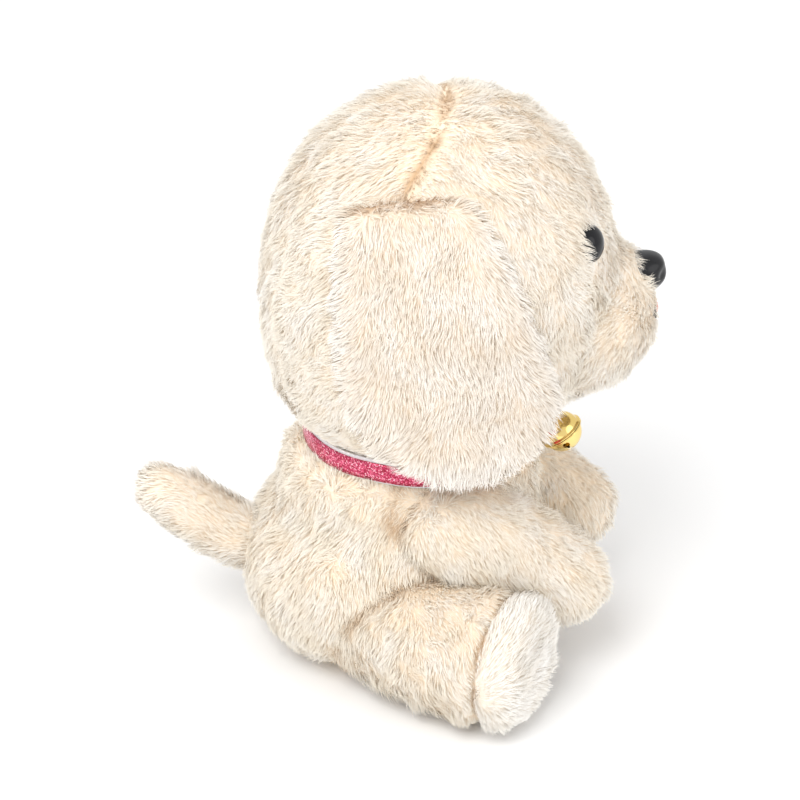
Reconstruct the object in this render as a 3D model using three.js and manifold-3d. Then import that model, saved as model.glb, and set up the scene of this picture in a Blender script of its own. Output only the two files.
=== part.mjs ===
// A sitting plush puppy with drop ears, a glitter ribbon collar and a jingle bell.
// Millimetres, +Z up. The puppy faces -Y, its right side is -X, and it sits on the plane Z = 0.
// Each sewn body part is a skin of plush panels around a stuffing core, with the seams as gaps.
import * as THREE from "three";
import { mergeVertices } from "three/addons/utils/BufferGeometryUtils.js";
import Module from "manifold-3d";

const wasm = await Module();
wasm.setup();

// ---------------------------------------------------------------- driving dimensions
const SKIN = 2.6; // thickness of the plush fabric, backing and flattened pile
const GAP = 0.35; // clearance left between neighbouring pieces
const SWING_GAP = 1.3; // clearance around a limb that swings in its pocket
const POCKET_SLACK = 1.1; // what the pocket's coarse facets take off its clearance
const SWEEP_STEP = 15; // degrees between the copies that cut a limb's pocket
const FAR = 200; // reach of the cutting boxes, past the whole puppy

// The neck: the parting plane between head and torso, and the groove that the collar sits in.
const NECK = { y: 3, z: 81.5, groove: { radius: 37, low: 77, high: 86.3, slope: 0.3 } };
// Head and torso are radial shapes: a soft maximum of ellipsoids seen from an inner point, the heart.
const HEAD = {
  heart: [0, 2, 130],
  blend: 14,
  lobes: [
    { centre: [0, -3, 143], radii: [51.5, 52.5, 51.5] }, // skull
    { centre: [0, 2, 121], radii: [49.5, 49.5, 56] }, // cheeks, narrowing to the neck
    { centre: [0, -43, 121], radii: [26, 27.8, 23] }, // muzzle
  ],
};
const TORSO = {
  heart: [0, 10, 42],
  blend: 14,
  lobes: [
    { centre: [0, 15, 30], radii: [44, 45.5, 36.5] }, // rump and belly
    { centre: [0, 7, 58], radii: [40, 40.5, 56] }, // chest and shoulders
  ],
  seatSeam: 6,
  belly: { halfWidth: 16, lowHalfWidth: 32, lowTop: 42, lowBack: 0 }, // wider below, between the legs
};
const CROWN_SEAM = { side: 9, top: -4, bend: 176, crest: 194 }; // the seam from ear to ear
const MUZZLE_SEAM = { y: -45, z: 147.5 }; // the muzzle panels lie in front of this and below this

const EYE = { x: 24, z: 156, radius: 6.3, dome: 4.6, shank: 1.6, length: 12 };
const NOSE = { z: 135.5, halfWidth: 7.2, halfHeight: 6.6, depth: 10.2, shank: 1.8, length: 11, tilt: 0.58 };
const WASHER = { radius: 5, thickness: 1.6, below: 2.4 }; // below: depth of its top under the fabric
const MOUTH = { z: 125.6, drop: 2.6, halfWidth: 7.5, thread: 0.6 };

const EAR = { rootAngle: 0.72, hangAngle: 1.6, length: 85, lining: 1.8, outer: 2.6, clear: 0.6 };

const COLLAR = { width: 8, backing: 0.7, glitter: 0.8 };
const HANGER = { radius: 2, wire: 0.5, z: 83.8 }; // half ring of wire stitched to the ribbon
const BELL = {
  radius: 6.8,
  wall: 0.5,
  lip: 0.7, // how far the crimped rim stands out
  rim: 0.6, // thickness of each half's rim
  slot: 1.3,
  hole: 1.2,
  holeDrop: 2.4,
  arm: 8.4, // from the hanger's wire to the middle of the bell
  lean: 0.62, // radians forward of straight down, where the ribbon holds the bell off the chest
  eyelet: { radius: 1.4, wire: 0.45 },
  clapper: 1.7,
};

const TAIL_PATH = [[0, 50, 33], [0, 66, 38], [0, 81, 48.5], [0, 95.5, 58.5]];
const TAIL_RADIUS = 8.3;
const FORELEG = { shoulder: [31.5, -4, 62.5], radius: 13.8, inward: 0.18, lift: 26 };
const FORELEG_POSE = { right: { pitch: 0.63, length: 49 }, left: { pitch: 0.52, length: 52 } };
const HINDLEG_PATH = [[10, 24, 22], [28, 13, 22], [45.5, -7.5, 22.5], [59, -33, 22.5]];
// How far the sole wraps back round the foot from the end of that line.
const SOLE_WRAP = [5.4, 10.2];
const HINDLEG = { radius: 21.5, splay: 12 };
const ROUNDNESS = { limb: 3.2, hindleg: 7 }; // 2 gives elliptic ends, higher gives blunter ones

// ---------------------------------------------------------------- materials
const MATERIALS = {
  plush: { color: 0xf3e9d6, roughness: 0.95, metalness: 0 },
  earPlush: { color: 0xe9dccb, roughness: 0.95, metalness: 0 },
  sole: { color: 0xf6f1e6, roughness: 0.95, metalness: 0 },
  stuffing: { color: 0xfbfbf8, roughness: 1, metalness: 0 },
  blackPlastic: { color: 0x0c0c0f, roughness: 0.15, metalness: 0 },
  washerPlastic: { color: 0xdedede, roughness: 0.6, metalness: 0 },
  thread: { color: 0x141212, roughness: 0.8, metalness: 0 },
  tongue: { color: 0xf2a9a4, roughness: 0.9, metalness: 0 },
  glitter: { color: 0xe0506f, roughness: 0.4, metalness: 0.3 },
  backing: { color: 0xf4f1f4, roughness: 0.7, metalness: 0 },
  brass: { color: 0xd8b44a, roughness: 0.2, metalness: 0.9 },
};
const finishes = Object.fromEntries(
  Object.entries(MATERIALS).map(([name, look]) => [name, new THREE.MeshStandardMaterial(look)]),
);

// ---------------------------------------------------------------- solids and meshes
const puppy = new THREE.Group();

// A closed geometry as a manifold-3d solid.
function solidOf(geometry) {
  const bare = geometry.clone();
  bare.deleteAttribute("normal");
  bare.deleteAttribute("uv");
  const merged = mergeVertices(bare, 1e-4);
  const solid = new wasm.Manifold(
    new wasm.Mesh({
      numProp: 3,
      vertProperties: merged.attributes.position.array,
      triVerts: new Uint32Array(merged.index.array),
    }),
  );
  if (solid.volume() <= 0) throw new Error("a geometry is inside out");
  return solid;
}

function addPiece(name, solid, finish) {
  const cut = solid.getMesh();
  const geometry = new THREE.BufferGeometry();
  geometry.setAttribute("position", new THREE.BufferAttribute(new Float32Array(cut.vertProperties), 3));
  geometry.setIndex(new THREE.BufferAttribute(new Uint32Array(cut.triVerts), 1));
  geometry.computeVertexNormals();
  const mesh = new THREE.Mesh(geometry, finishes[finish]);
  mesh.name = name;
  puppy.add(mesh);
}

function joinAll(solids) {
  return solids.reduce((whole, solid) => whole.add(solid));
}

// The same solid on the other side of the plane X = 0.
function mirrored(solid) {
  return solid.mirror([1, 0, 0]);
}

// The part of space between two corners.
function block(low, high) {
  const size = high.map((value, i) => value - low[i]);
  const box = new THREE.BoxGeometry(...size);
  box.translate(...low.map((value, i) => value + size[i] / 2));
  return solidOf(box);
}

const above = (z) => block([-FAR, -FAR, z], [FAR, FAR, FAR * 2]);
const below = (z) => block([-FAR, -FAR, -FAR], [FAR, FAR, z]);
const rightOf = (x) => block([-FAR, -FAR, -FAR], [x, FAR, FAR * 2]);
const leftOf = (x) => block([x, -FAR, -FAR], [FAR, FAR, FAR * 2]);
const inFrontOf = (y) => block([-FAR, -FAR, -FAR], [FAR, y, FAR * 2]);
const behind = (y) => block([-FAR, y, -FAR], [FAR, FAR, FAR * 2]);

// A sphere whose every point (unit vector) is carried to place(point).
function shapedSphere(place, around, along) {
  const sphere = new THREE.SphereGeometry(1, around, along);
  const position = sphere.attributes.position;
  const point = new THREE.Vector3();
  for (let i = 0; i < position.count; i++) {
    point.fromBufferAttribute(position, i);
    const moved = place(point);
    position.setXYZ(i, moved.x, moved.y, moved.z);
  }
  return solidOf(sphere);
}

// A rounded limb along a path: the sphere's Y axis becomes the path.
// radiusAt(s) is the cross-section's radius at the share s of the path. The limb is shrunk all
// round by shrink, and trimmed by trim at both ends of the path.
function limbSolid({ path, radiusAt, around, along, roundness = ROUNDNESS.limb }, trim, shrink) {
  const curve = new THREE.CatmullRomCurve3(path.map((p) => new THREE.Vector3(...p)));
  const cut = trim / curve.getLength();
  const up = new THREE.Vector3(0, 0, 1);
  return shapedSphere((point) => {
    const s = THREE.MathUtils.clamp((1 - point.y) / 2, 0, 1);
    const place = cut + s * (1 - 2 * cut);
    const centre = curve.getPointAt(place);
    const ahead = curve.getTangentAt(place);
    const sideways = new THREE.Vector3().crossVectors(ahead, up).normalize();
    const upward = new THREE.Vector3().crossVectors(sideways, ahead);
    const bulge = (1 - Math.abs(2 * s - 1) ** roundness) ** (1 / roundness);
    const radius = (radiusAt(place) - shrink) * bulge;
    const ring = Math.hypot(point.x, point.z) || 1;
    centre.addScaledVector(sideways, (-radius * point.x) / ring);
    return centre.addScaledVector(upward, (radius * point.z) / ring);
  }, around, along);
}

// A solid turned about an axis through a point, by an angle in degrees.
function turned(solid, pivot, axis, degrees) {
  const back = new THREE.Matrix4().makeTranslation(-pivot[0], -pivot[1], -pivot[2]);
  const spin = new THREE.Matrix4().makeRotationAxis(
    new THREE.Vector3(...axis).normalize(),
    THREE.MathUtils.degToRad(degrees),
  );
  const there = new THREE.Matrix4().makeTranslation(...pivot);
  return solid.transform(there.multiply(spin).multiply(back).elements);
}

// Everything a swinging solid passes through, in steps of a few degrees.
function sweptBy(solid, pivot, axis, [from, to]) {
  const steps = Math.ceil((to - from) / SWEEP_STEP);
  const turns = Array.from({ length: steps + 1 }, (_, i) => from + ((to - from) * i) / steps);
  return joinAll(turns.map((degrees) => turned(solid, pivot, axis, degrees)));
}

// ---------------------------------------------------------------- radial shapes
// Distance from a radial shape's heart to its surface along a unit direction.
function reachOf(shape, direction) {
  let sum = 0;
  for (const { centre, radii } of shape.lobes) {
    const from = shape.heart.map((value, i) => (value - centre[i]) / radii[i]);
    const to = [direction.x / radii[0], direction.y / radii[1], direction.z / radii[2]];
    const a = to[0] ** 2 + to[1] ** 2 + to[2] ** 2;
    const b = from[0] * to[0] + from[1] * to[1] + from[2] * to[2];
    const c = from[0] ** 2 + from[1] ** 2 + from[2] ** 2 - 1;
    const inside = b * b - a * c;
    if (inside <= 0) continue;
    const exit = (-b + Math.sqrt(inside)) / a;
    if (exit > 0) sum += exit ** shape.blend;
  }
  return sum ** (1 / shape.blend);
}

function radialPoint(shape, direction, offset = 0) {
  return new THREE.Vector3(...shape.heart).addScaledVector(direction, reachOf(shape, direction) + offset);
}

// The whole radial solid, grown or shrunk by an offset. The sphere's poles lie along Y.
function radialSolid(shape, offset, around, along) {
  return shapedSphere((point) => radialPoint(shape, point, offset), around, along);
}

const headHeart = new THREE.Vector3(...HEAD.heart);

// Height of a point above the head's surface, measured along its spoke.
function heightOverHead(point) {
  const spoke = point.clone().sub(headHeart);
  return spoke.length() - reachOf(HEAD, spoke.clone().normalize());
}

// The frontmost point of the head's surface at a given x and z, found by halving.
function frontOfHead(x, z) {
  let outside = -130;
  let inside = HEAD.heart[1];
  for (let i = 0; i < 40; i++) {
    const y = (outside + inside) / 2;
    if (heightOverHead(new THREE.Vector3(x, y, z)) > 0) outside = y;
    else inside = y;
  }
  return new THREE.Vector3(x, inside, z);
}

// Outward direction of the head's surface at a point on it.
function headNormal(point) {
  const step = 1;
  const slope = (axis) => {
    const more = point.clone();
    more[axis] += step;
    const less = point.clone();
    less[axis] -= step;
    return heightOverHead(more) - heightOverHead(less);
  };
  return new THREE.Vector3(slope("x"), slope("y"), slope("z")).normalize();
}

// ---------------------------------------------------------------- eyes, nose and washers
// A turned profile about +Z, moved so that +Z points along a direction from a point.
function turnedAlong(profile, point, direction, sides) {
  const lathe = new THREE.LatheGeometry(profile.map(([r, z]) => new THREE.Vector2(r, z)), sides);
  lathe.rotateX(Math.PI / 2);
  const turn = new THREE.Quaternion().setFromUnitVectors(new THREE.Vector3(0, 0, 1), direction);
  lathe.applyQuaternion(turn);
  lathe.translate(point.x, point.y, point.z);
  return solidOf(lathe);
}

// An outline (radius, height) as a lathe profile from top to bottom, closed on the axis.
function domedButton({ radius, dome, shank, length, seat }) {
  const arc = 5;
  const cap = Array.from({ length: arc }, (_, i) => {
    const angle = (i / arc) * (Math.PI / 2);
    return [radius * Math.sin(angle), seat + dome * Math.cos(angle)];
  });
  return [[0, seat - length], [shank, seat - length], [shank, seat], [radius, seat]].concat(cap.reverse());
}

function rod(radius, from, to) {
  return [[0, from], [radius, from], [radius, to], [0, to]];
}

const eyeSpots = [-1, 1].map((side) => {
  const point = frontOfHead(side * EYE.x, EYE.z);
  return { side, point, normal: headNormal(point) };
});
const noseSpot = frontOfHead(0, NOSE.z);
const noseNormal = new THREE.Vector3(0, -Math.cos(NOSE.tilt), Math.sin(NOSE.tilt));

function eyeSolid({ point, normal }) {
  return turnedAlong(domedButton({ ...EYE, seat: GAP }), point, normal, 16);
}

// The nose is a rounded block, broad and flat at the top and narrow below, on a shank.
function noseSolid() {
  const button = shapedSphere((p) => {
    const upper = p.z > 0;
    const width = NOSE.halfWidth * (upper ? 1 : 1 + 0.45 * p.z);
    const height = NOSE.halfHeight * (upper ? 0.85 : 1);
    const square = (v) => Math.sign(v) * Math.abs(v) ** 0.8;
    return new THREE.Vector3(-width * square(p.x), -NOSE.depth * p.y, height * square(p.z));
  }, 16, 12).intersect(inFrontOf(0));
  const turn = new THREE.Matrix4().makeRotationX(-NOSE.tilt);
  const seat = noseSpot.clone().addScaledVector(noseNormal, 2 * GAP);
  turn.setPosition(seat);
  const shank = turnedAlong(rod(NOSE.shank, -NOSE.length, 1), seat, noseNormal, 10);
  return button.transform(turn.elements).add(shank);
}

function washerSolid(point, normal, shank) {
  const top = -SKIN - WASHER.below;
  const bottom = top - WASHER.thickness;
  const bore = shank + GAP;
  const ring = [[bore, bottom], [WASHER.radius, bottom], [WASHER.radius, top], [bore, top], [bore, bottom]];
  return turnedAlong(ring, point, normal, 12);
}

const shanks = [...eyeSpots.map((spot) => ({ ...spot, radius: EYE.shank, length: EYE.length })),
  { point: noseSpot, normal: noseNormal, radius: NOSE.shank, length: NOSE.length }];
const shankHoles = joinAll(shanks.map(({ point, normal, radius, length }) =>
  turnedAlong(rod(radius + GAP, -length - 1, 3), point, normal, 8)));
const washerHoles = joinAll(shanks.map(({ point, normal }) =>
  turnedAlong(rod(WASHER.radius + GAP, -SKIN - WASHER.below - WASHER.thickness - GAP, 0), point, normal, 12)));

eyeSpots.forEach((spot) => {
  const name = spot.side < 0 ? "right" : "left";
  addPiece(`eye_${name}`, eyeSolid(spot), "blackPlastic");
  addPiece(`eye_washer_${name}`, washerSolid(spot.point, spot.normal, EYE.shank), "washerPlastic");
});
addPiece("nose", noseSolid(), "blackPlastic");
addPiece("nose_washer", washerSolid(noseSpot, noseNormal, NOSE.shank), "washerPlastic");

// ---------------------------------------------------------------- head panels and stuffing
// The groove round the neck that holds the collar, widened by an amount on every side.
function neckGroove(wider) {
  const { radius, low, high, slope } = NECK.groove;
  const inner = radius - wider;
  const rise = slope * (FAR - inner);
  const profile = [[inner, low - wider], [FAR, low - wider - rise], [FAR, high + wider + rise], [inner, high + wider]];
  profile.push(profile[0]);
  const ring = new THREE.LatheGeometry(profile.map(([r, z]) => new THREE.Vector2(r, z)), 32);
  ring.rotateX(Math.PI / 2);
  ring.translate(0, NECK.y, 0);
  return solidOf(ring);
}

const nearNeck = block([-FAR, -FAR, NECK.z - 14], [FAR, FAR, NECK.z + 14]);
const groove = (wider) => neckGroove(wider).intersect(nearNeck);
const headOuter = radialSolid(HEAD, 0, 24, 22).subtract(groove(0));
const headInner = radialSolid(HEAD, -SKIN, 16, 18).subtract(groove(SKIN));
const headCore = radialSolid(HEAD, -SKIN - GAP, 16, 18).subtract(groove(SKIN + GAP));
const headSpace = above(NECK.z + GAP / 2);
const headSkin = headOuter.subtract(headInner).intersect(headSpace).subtract(shankHoles);

// Everything behind the crown seam: straight up from the neck, then leaning forward over the crown.
function behindCrownSeam(shift) {
  const { side, top, bend, crest } = CROWN_SEAM;
  const outline = new THREE.Shape([
    new THREE.Vector2(side + shift, 0),
    new THREE.Vector2(FAR, 0),
    new THREE.Vector2(FAR, FAR * 2),
    new THREE.Vector2(top + shift, FAR * 2),
    new THREE.Vector2(top + shift, crest),
    new THREE.Vector2(side + shift, bend),
  ]);
  const slab = new THREE.ExtrudeGeometry(outline, { depth: 2 * FAR, bevelEnabled: false });
  slab.translate(0, 0, -FAR);
  slab.applyMatrix4(new THREE.Matrix4().set(0, 0, 1, 0, 1, 0, 0, 0, 0, 1, 0, 0, 0, 0, 0, 1));
  return solidOf(slab);
}

const half = GAP / 2;
const backOfHead = headSkin.intersect(behindCrownSeam(half));
const faceAndMuzzle = headSkin.subtract(behindCrownSeam(-half));
const muzzleSpace = (shift) => inFrontOf(MUZZLE_SEAM.y + shift).intersect(below(MUZZLE_SEAM.z + shift));
const face = faceAndMuzzle.subtract(muzzleSpace(half));
const muzzle = faceAndMuzzle.intersect(muzzleSpace(-half));
for (const [side, halfSpace] of [["right", rightOf(-half)], ["left", leftOf(half)]]) {
  addPiece(`face_panel_${side}`, face.intersect(halfSpace), "plush");
  addPiece(`muzzle_panel_${side}`, muzzle.intersect(halfSpace), "plush");
  addPiece(`back_head_panel_${side}`, backOfHead.intersect(halfSpace), "plush");
}
const headStuffing = headCore.intersect(headSpace).subtract(shankHoles).subtract(washerHoles);
addPiece("head_stuffing", headStuffing, "stuffing");

// ---------------------------------------------------------------- mouth
// A stitched thread: up from one corner, over the middle and down to the other, laid on the muzzle.
function threadAlong(points, radius) {
  const curve = new THREE.CatmullRomCurve3(points);
  const outline = new THREE.Shape().absarc(0, 0, radius, 0, 2 * Math.PI);
  return solidOf(new THREE.ExtrudeGeometry(outline, {
    steps: 8, curveSegments: 3, bevelEnabled: false, extrudePath: curve,
  }));
}

function onMuzzle(x, z, lift) {
  const point = frontOfHead(x, z);
  return point.addScaledVector(headNormal(point), lift);
}

const mouthPoints = Array.from({ length: 9 }, (_, i) => {
  const x = MOUTH.halfWidth * (i / 4 - 1);
  const sag = MOUTH.drop * Math.abs(x / MOUTH.halfWidth) ** 1.5;
  return onMuzzle(x, MOUTH.z - sag, MOUTH.thread + GAP);
});
addPiece("mouth_thread", threadAlong(mouthPoints, MOUTH.thread), "thread");

function tongueSolid() {
  const outline = new THREE.Shape().absarc(0, 0, 2.2, 0, 2 * Math.PI);
  const pad = new THREE.ExtrudeGeometry(outline, { depth: 1, bevelEnabled: false, curveSegments: 8 });
  const point = onMuzzle(0, MOUTH.z - 4.4, 0.45);
  pad.applyQuaternion(new THREE.Quaternion().setFromUnitVectors(new THREE.Vector3(0, 0, 1), headNormal(point)));
  pad.translate(point.x, point.y, point.z);
  return solidOf(pad);
}
addPiece("tongue", tongueSolid(), "tongue");

// ---------------------------------------------------------------- ears
// Half-width and centre of the ear at the share s of its length below the seam.
function earOutline(s) {
  const spread = 16.5 + 15.5 * Math.sin(Math.min(s / 0.72, 1) * (Math.PI / 2));
  const tip = s < 0.68 ? 1 : Math.sqrt(1 - ((s - 0.68) / 0.33) ** 2);
  return { half: spread * tip, centre: 6 - 19 * s };
}

// A point of the right ear: down the head's side from the seam, then hanging straight.
function earPoint(s, across, offset) {
  const { half: halfWidth, centre } = earOutline(s);
  const travelled = s * EAR.length;
  const reach = 52;
  const polar = Math.min(EAR.rootAngle + travelled / reach, EAR.hangAngle);
  const drop = travelled - (polar - EAR.rootAngle) * reach;
  const yaw = (centre + halfWidth * across) / reach;
  const direction = new THREE.Vector3(
    -Math.sin(polar) * Math.cos(yaw), Math.sin(yaw), Math.cos(polar) * Math.cos(yaw),
  );
  const point = radialPoint(HEAD, direction, offset);
  point.z -= drop;
  return point;
}

// One layer of the ear: a quilted sheet between two offsets from the head.
function earLayer(near, far) {
  const rows = 9;
  const columns = 6;
  const positions = [];
  const faces = [];
  for (const offset of [near, far]) {
    for (let row = 0; row <= rows; row++) {
      for (let column = 0; column <= columns; column++) {
        positions.push(...earPoint(row / rows, (2 * column) / columns - 1, offset).toArray());
      }
    }
  }
  const stride = columns + 1;
  const layer = (rows + 1) * stride;
  const quad = (a, b, c, d) => faces.push(a, b, c, a, c, d);
  for (let row = 0; row < rows; row++) {
    for (let column = 0; column < columns; column++) {
      const a = row * stride + column;
      quad(a, a + stride, a + stride + 1, a + 1);
      quad(layer + a, layer + a + 1, layer + a + stride + 1, layer + a + stride);
    }
  }
  const rim = [];
  for (let column = 0; column < columns; column++) rim.push(column);
  for (let row = 0; row < rows; row++) rim.push(row * stride + columns);
  for (let column = columns; column > 0; column--) rim.push(rows * stride + column);
  for (let row = rows; row > 0; row--) rim.push(row * stride);
  rim.forEach((a, i) => {
    const b = rim[(i + 1) % rim.length];
    quad(a, b, layer + b, layer + a);
  });
  const geometry = new THREE.BufferGeometry();
  geometry.setAttribute("position", new THREE.Float32BufferAttribute(positions, 3));
  geometry.setIndex(faces);
  return solidOf(geometry);
}

const earLining = earLayer(EAR.clear, EAR.clear + EAR.lining);
const earOuter = earLayer(EAR.clear + EAR.lining + GAP, EAR.clear + EAR.lining + GAP + EAR.outer);
addPiece("ear_lining_right", earLining, "earPlush");
addPiece("ear_outer_right", earOuter, "earPlush");
addPiece("ear_lining_left", mirrored(earLining), "earPlush");
addPiece("ear_outer_left", mirrored(earOuter), "earPlush");

// ---------------------------------------------------------------- limb shapes
// Foreleg of the right side, before its own pitch: from the shoulder forwards and down to the paw.
function forelegPath(side, pitch, length) {
  const [x, y, z] = FORELEG.shoulder;
  const along = (distance) => [
    side * (x - FORELEG.inward * distance),
    y - distance * Math.cos(pitch),
    z - distance * Math.sin(pitch),
  ];
  return [along(-FORELEG.radius), along(length * 0.3), along(length * 0.7), along(length + FORELEG.radius)];
}

const forelegRadius = (s) => FORELEG.radius * (1 + 0.07 * s * s);
const hindlegRadius = (s) => HINDLEG.radius * (0.9 + 0.1 * s);
const tailRadius = (s) => TAIL_RADIUS * (1 - 0.12 * s);

const LIMBS = [];
for (const [name, side] of [["right", -1], ["left", 1]]) {
  const { pitch, length } = FORELEG_POSE[name];
  LIMBS.push({
    name: `foreleg_${name}`,
    path: forelegPath(side, pitch, length),
    radiusAt: forelegRadius,
    pivot: [side * FORELEG.shoulder[0], FORELEG.shoulder[1], FORELEG.shoulder[2]],
    axis: [-1, 0, 0],
    swing: [0, FORELEG.lift],
    panels: ["outer_panel", "inner_panel"],
    seams: { point: [side * (FORELEG.shoulder[0] - 1.5), 0, 0], across: [side, 0, 0], ahead: [0, -1, 0] },
    around: 14,
    along: 10,
  });
}
for (const [name, side] of [["right", -1], ["left", 1]]) {
  LIMBS.push({
    name: `hindleg_${name}`,
    path: HINDLEG_PATH.map(([x, y, z]) => [side * x, y, z]),
    radiusAt: hindlegRadius,
    roundness: ROUNDNESS.hindleg,
    pivot: [side * HINDLEG_PATH[0][0], HINDLEG_PATH[0][1], 0],
    axis: [0, 0, 1],
    swing: side < 0 ? [-HINDLEG.splay, 0] : [0, HINDLEG.splay],
    panels: ["outer_panel", "inner_panel"],
    seams: {
      point: [side * HINDLEG_PATH[1][0], HINDLEG_PATH[1][1], 0],
      across: [side * 46, 42, 0],
      ahead: [side * 15, -28, 0],
      soleAt: [side * (HINDLEG_PATH[3][0] - SOLE_WRAP[0]), HINDLEG_PATH[3][1] + SOLE_WRAP[1], 0],
    },
    around: 16,
    along: 12,
  });
}
LIMBS.push({
  name: "tail",
  path: TAIL_PATH,
  radiusAt: tailRadius,
  pivot: TAIL_PATH[0],
  axis: [0, 0, 1],
  swing: [-30, 30],
  panels: ["panel_left", "panel_right"],
  seams: { point: [0, 0, 0], across: [1, 0, 0], ahead: [0, 1, 0] },
  around: 12,
  along: 8,
});

// Skins are split by a vertical plane through a point, with this normal; a sole is cut off the end.
function sliceBy(solid, point, normal, gap) {
  const slab = new THREE.BoxGeometry(FAR * 2, FAR * 2, FAR * 2);
  slab.translate(0, 0, FAR + gap);
  const turn = new THREE.Quaternion().setFromUnitVectors(new THREE.Vector3(0, 0, 1), normal);
  slab.applyQuaternion(turn);
  slab.translate(...point);
  return solid.intersect(solidOf(slab));
}

const floor = above(0);
const pockets = [];
for (const part of LIMBS) {
  const outer = limbSolid(part, SWING_GAP, 0).intersect(floor);
  const inner = limbSolid({ ...part, around: part.around - 4, along: part.along - 2 }, SWING_GAP + SKIN, SKIN);
  const core = limbSolid({ ...part, around: part.around - 4, along: part.along - 2 },
    SWING_GAP + SKIN + GAP, SKIN + GAP);
  const skin = outer.subtract(inner.intersect(above(SKIN)));
  const roomy = limbSolid({ ...part, around: 10, along: 8 }, 0, -SWING_GAP - POCKET_SLACK);
  pockets.push(sweptBy(roomy, part.pivot, part.axis, part.swing));
  const { point, across, ahead, soleAt } = part.seams;
  const sideways = new THREE.Vector3(...across).normalize();
  const forwards = new THREE.Vector3(...ahead).normalize();
  let leg = skin;
  if (soleAt) {
    addPiece(`${part.name}_sole`, sliceBy(skin, soleAt, forwards, half), "sole");
    leg = sliceBy(skin, soleAt, forwards.clone().negate(), half);
  }
  addPiece(`${part.name}_${part.panels[0]}`, sliceBy(leg, point, sideways, half), "plush");
  addPiece(`${part.name}_${part.panels[1]}`, sliceBy(leg, point, sideways.clone().negate(), half), "plush");
  addPiece(`${part.name}_stuffing`, core.intersect(above(SKIN + GAP)), "stuffing");
}

// ---------------------------------------------------------------- torso
const pocketSpace = joinAll(pockets);
const torsoSpace = below(NECK.z - GAP / 2);
const torsoOuter = radialSolid(TORSO, 0, 24, 16).intersect(floor).subtract(groove(0));
const torsoInner = radialSolid(TORSO, -SKIN, 16, 12).intersect(above(SKIN)).subtract(groove(SKIN));
const torsoSkin = torsoOuter.subtract(torsoInner).intersect(torsoSpace).subtract(pocketSpace);
const seat = torsoSkin.intersect(below(TORSO.seatSeam - half));
const flanks = torsoSkin.intersect(above(TORSO.seatSeam + half));
function bellyFront(grow) {
  const { halfWidth, lowHalfWidth, lowTop, lowBack } = TORSO.belly;
  const chest = block([-halfWidth - grow, -FAR, -FAR], [halfWidth + grow, lowBack + grow, FAR]);
  const lap = block([-lowHalfWidth - grow, -FAR, -FAR], [lowHalfWidth + grow, lowBack + grow, lowTop + grow]);
  return chest.add(lap);
}
addPiece("seat_panel", seat, "plush");
addPiece("belly_panel", flanks.intersect(bellyFront(-half)), "plush");
const sides = flanks.subtract(bellyFront(half));
addPiece("torso_panel_right", sides.intersect(rightOf(-half)), "plush");
addPiece("torso_panel_left", sides.intersect(leftOf(half)), "plush");
const torsoStuffing = radialSolid(TORSO, -SKIN - GAP, 16, 12).intersect(above(SKIN + GAP))
  .intersect(torsoSpace).subtract(pocketSpace).subtract(groove(SKIN + GAP));
addPiece("torso_stuffing", torsoStuffing, "stuffing");

// ---------------------------------------------------------------- collar and bell
function ribbon(inner, thickness, width) {
  const outer = inner + thickness;
  const low = NECK.z - width / 2;
  const high = low + width;
  const profile = [[inner, low], [outer, low], [outer, high], [inner, high], [inner, low]];
  const ring = new THREE.LatheGeometry(profile.map(([r, z]) => new THREE.Vector2(r, z)), 32);
  ring.rotateX(Math.PI / 2);
  ring.translate(0, NECK.y, 0);
  return solidOf(ring);
}

const backingInner = NECK.groove.radius + 0.6;
const glitterInner = backingInner + COLLAR.backing + GAP;
const collarFront = NECK.y - glitterInner - COLLAR.glitter;
addPiece("collar_backing", ribbon(backingInner, COLLAR.backing, COLLAR.width), "backing");
addPiece("collar_ribbon", ribbon(glitterInner, COLLAR.glitter, COLLAR.width - 0.6), "glitter");

// A ring of wire round the Z axis.
function wireRing({ radius, wire }) {
  return solidOf(new THREE.TorusGeometry(radius, wire, 6, 14));
}

const hangerCentre = [0, collarFront - GAP, HANGER.z];
const hanger = wireRing(HANGER).intersect(inFrontOf(0)).translate(hangerCentre);
addPiece("bell_hanger", hanger, "brass");

// Points of a quarter circle from the bell's axis down to its rim.
function quarterArc(radius, rise) {
  const steps = 5;
  return Array.from({ length: steps + 1 }, (_, i) => {
    const angle = (i / steps) * (Math.PI / 2);
    return [radius * Math.sin(angle), rise + radius * Math.cos(angle)];
  });
}

// Half of the bell, with its crimped rim, standing on the plane Z = 0 with the dome upwards.
function bellHalf() {
  const { radius, wall, lip, rim } = BELL;
  const outside = quarterArc(radius, half).filter(([r, z]) => r === 0 || z > rim + half);
  const inside = quarterArc(radius - wall, half);
  const outline = [...inside, [radius + lip, half], [radius + lip, half + rim], [radius, half + rim]];
  const profile = outline.concat(outside.reverse());
  const lathe = new THREE.LatheGeometry(profile.map(([r, z]) => new THREE.Vector2(r, z)), 18);
  lathe.rotateX(Math.PI / 2);
  return solidOf(lathe);
}

// From the bell's own frame (eyelet above, middle at the origin) to where it hangs.
const hangerFront = [0, hangerCentre[1] - HANGER.radius, HANGER.z];
const bellCentre = [
  0,
  hangerFront[1] - BELL.arm * Math.sin(BELL.lean),
  hangerFront[2] - BELL.arm * Math.cos(BELL.lean),
];
const hung = (solid) => solid.rotate([-THREE.MathUtils.radToDeg(BELL.lean), 0, 0]).translate(bellCentre);

const eyelet = wireRing(BELL.eyelet).rotate([0, 90, 0]).translate([0, 0, BELL.arm]);
addPiece("bell_upper_shell", hung(bellHalf().add(eyelet)), "brass");

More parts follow.
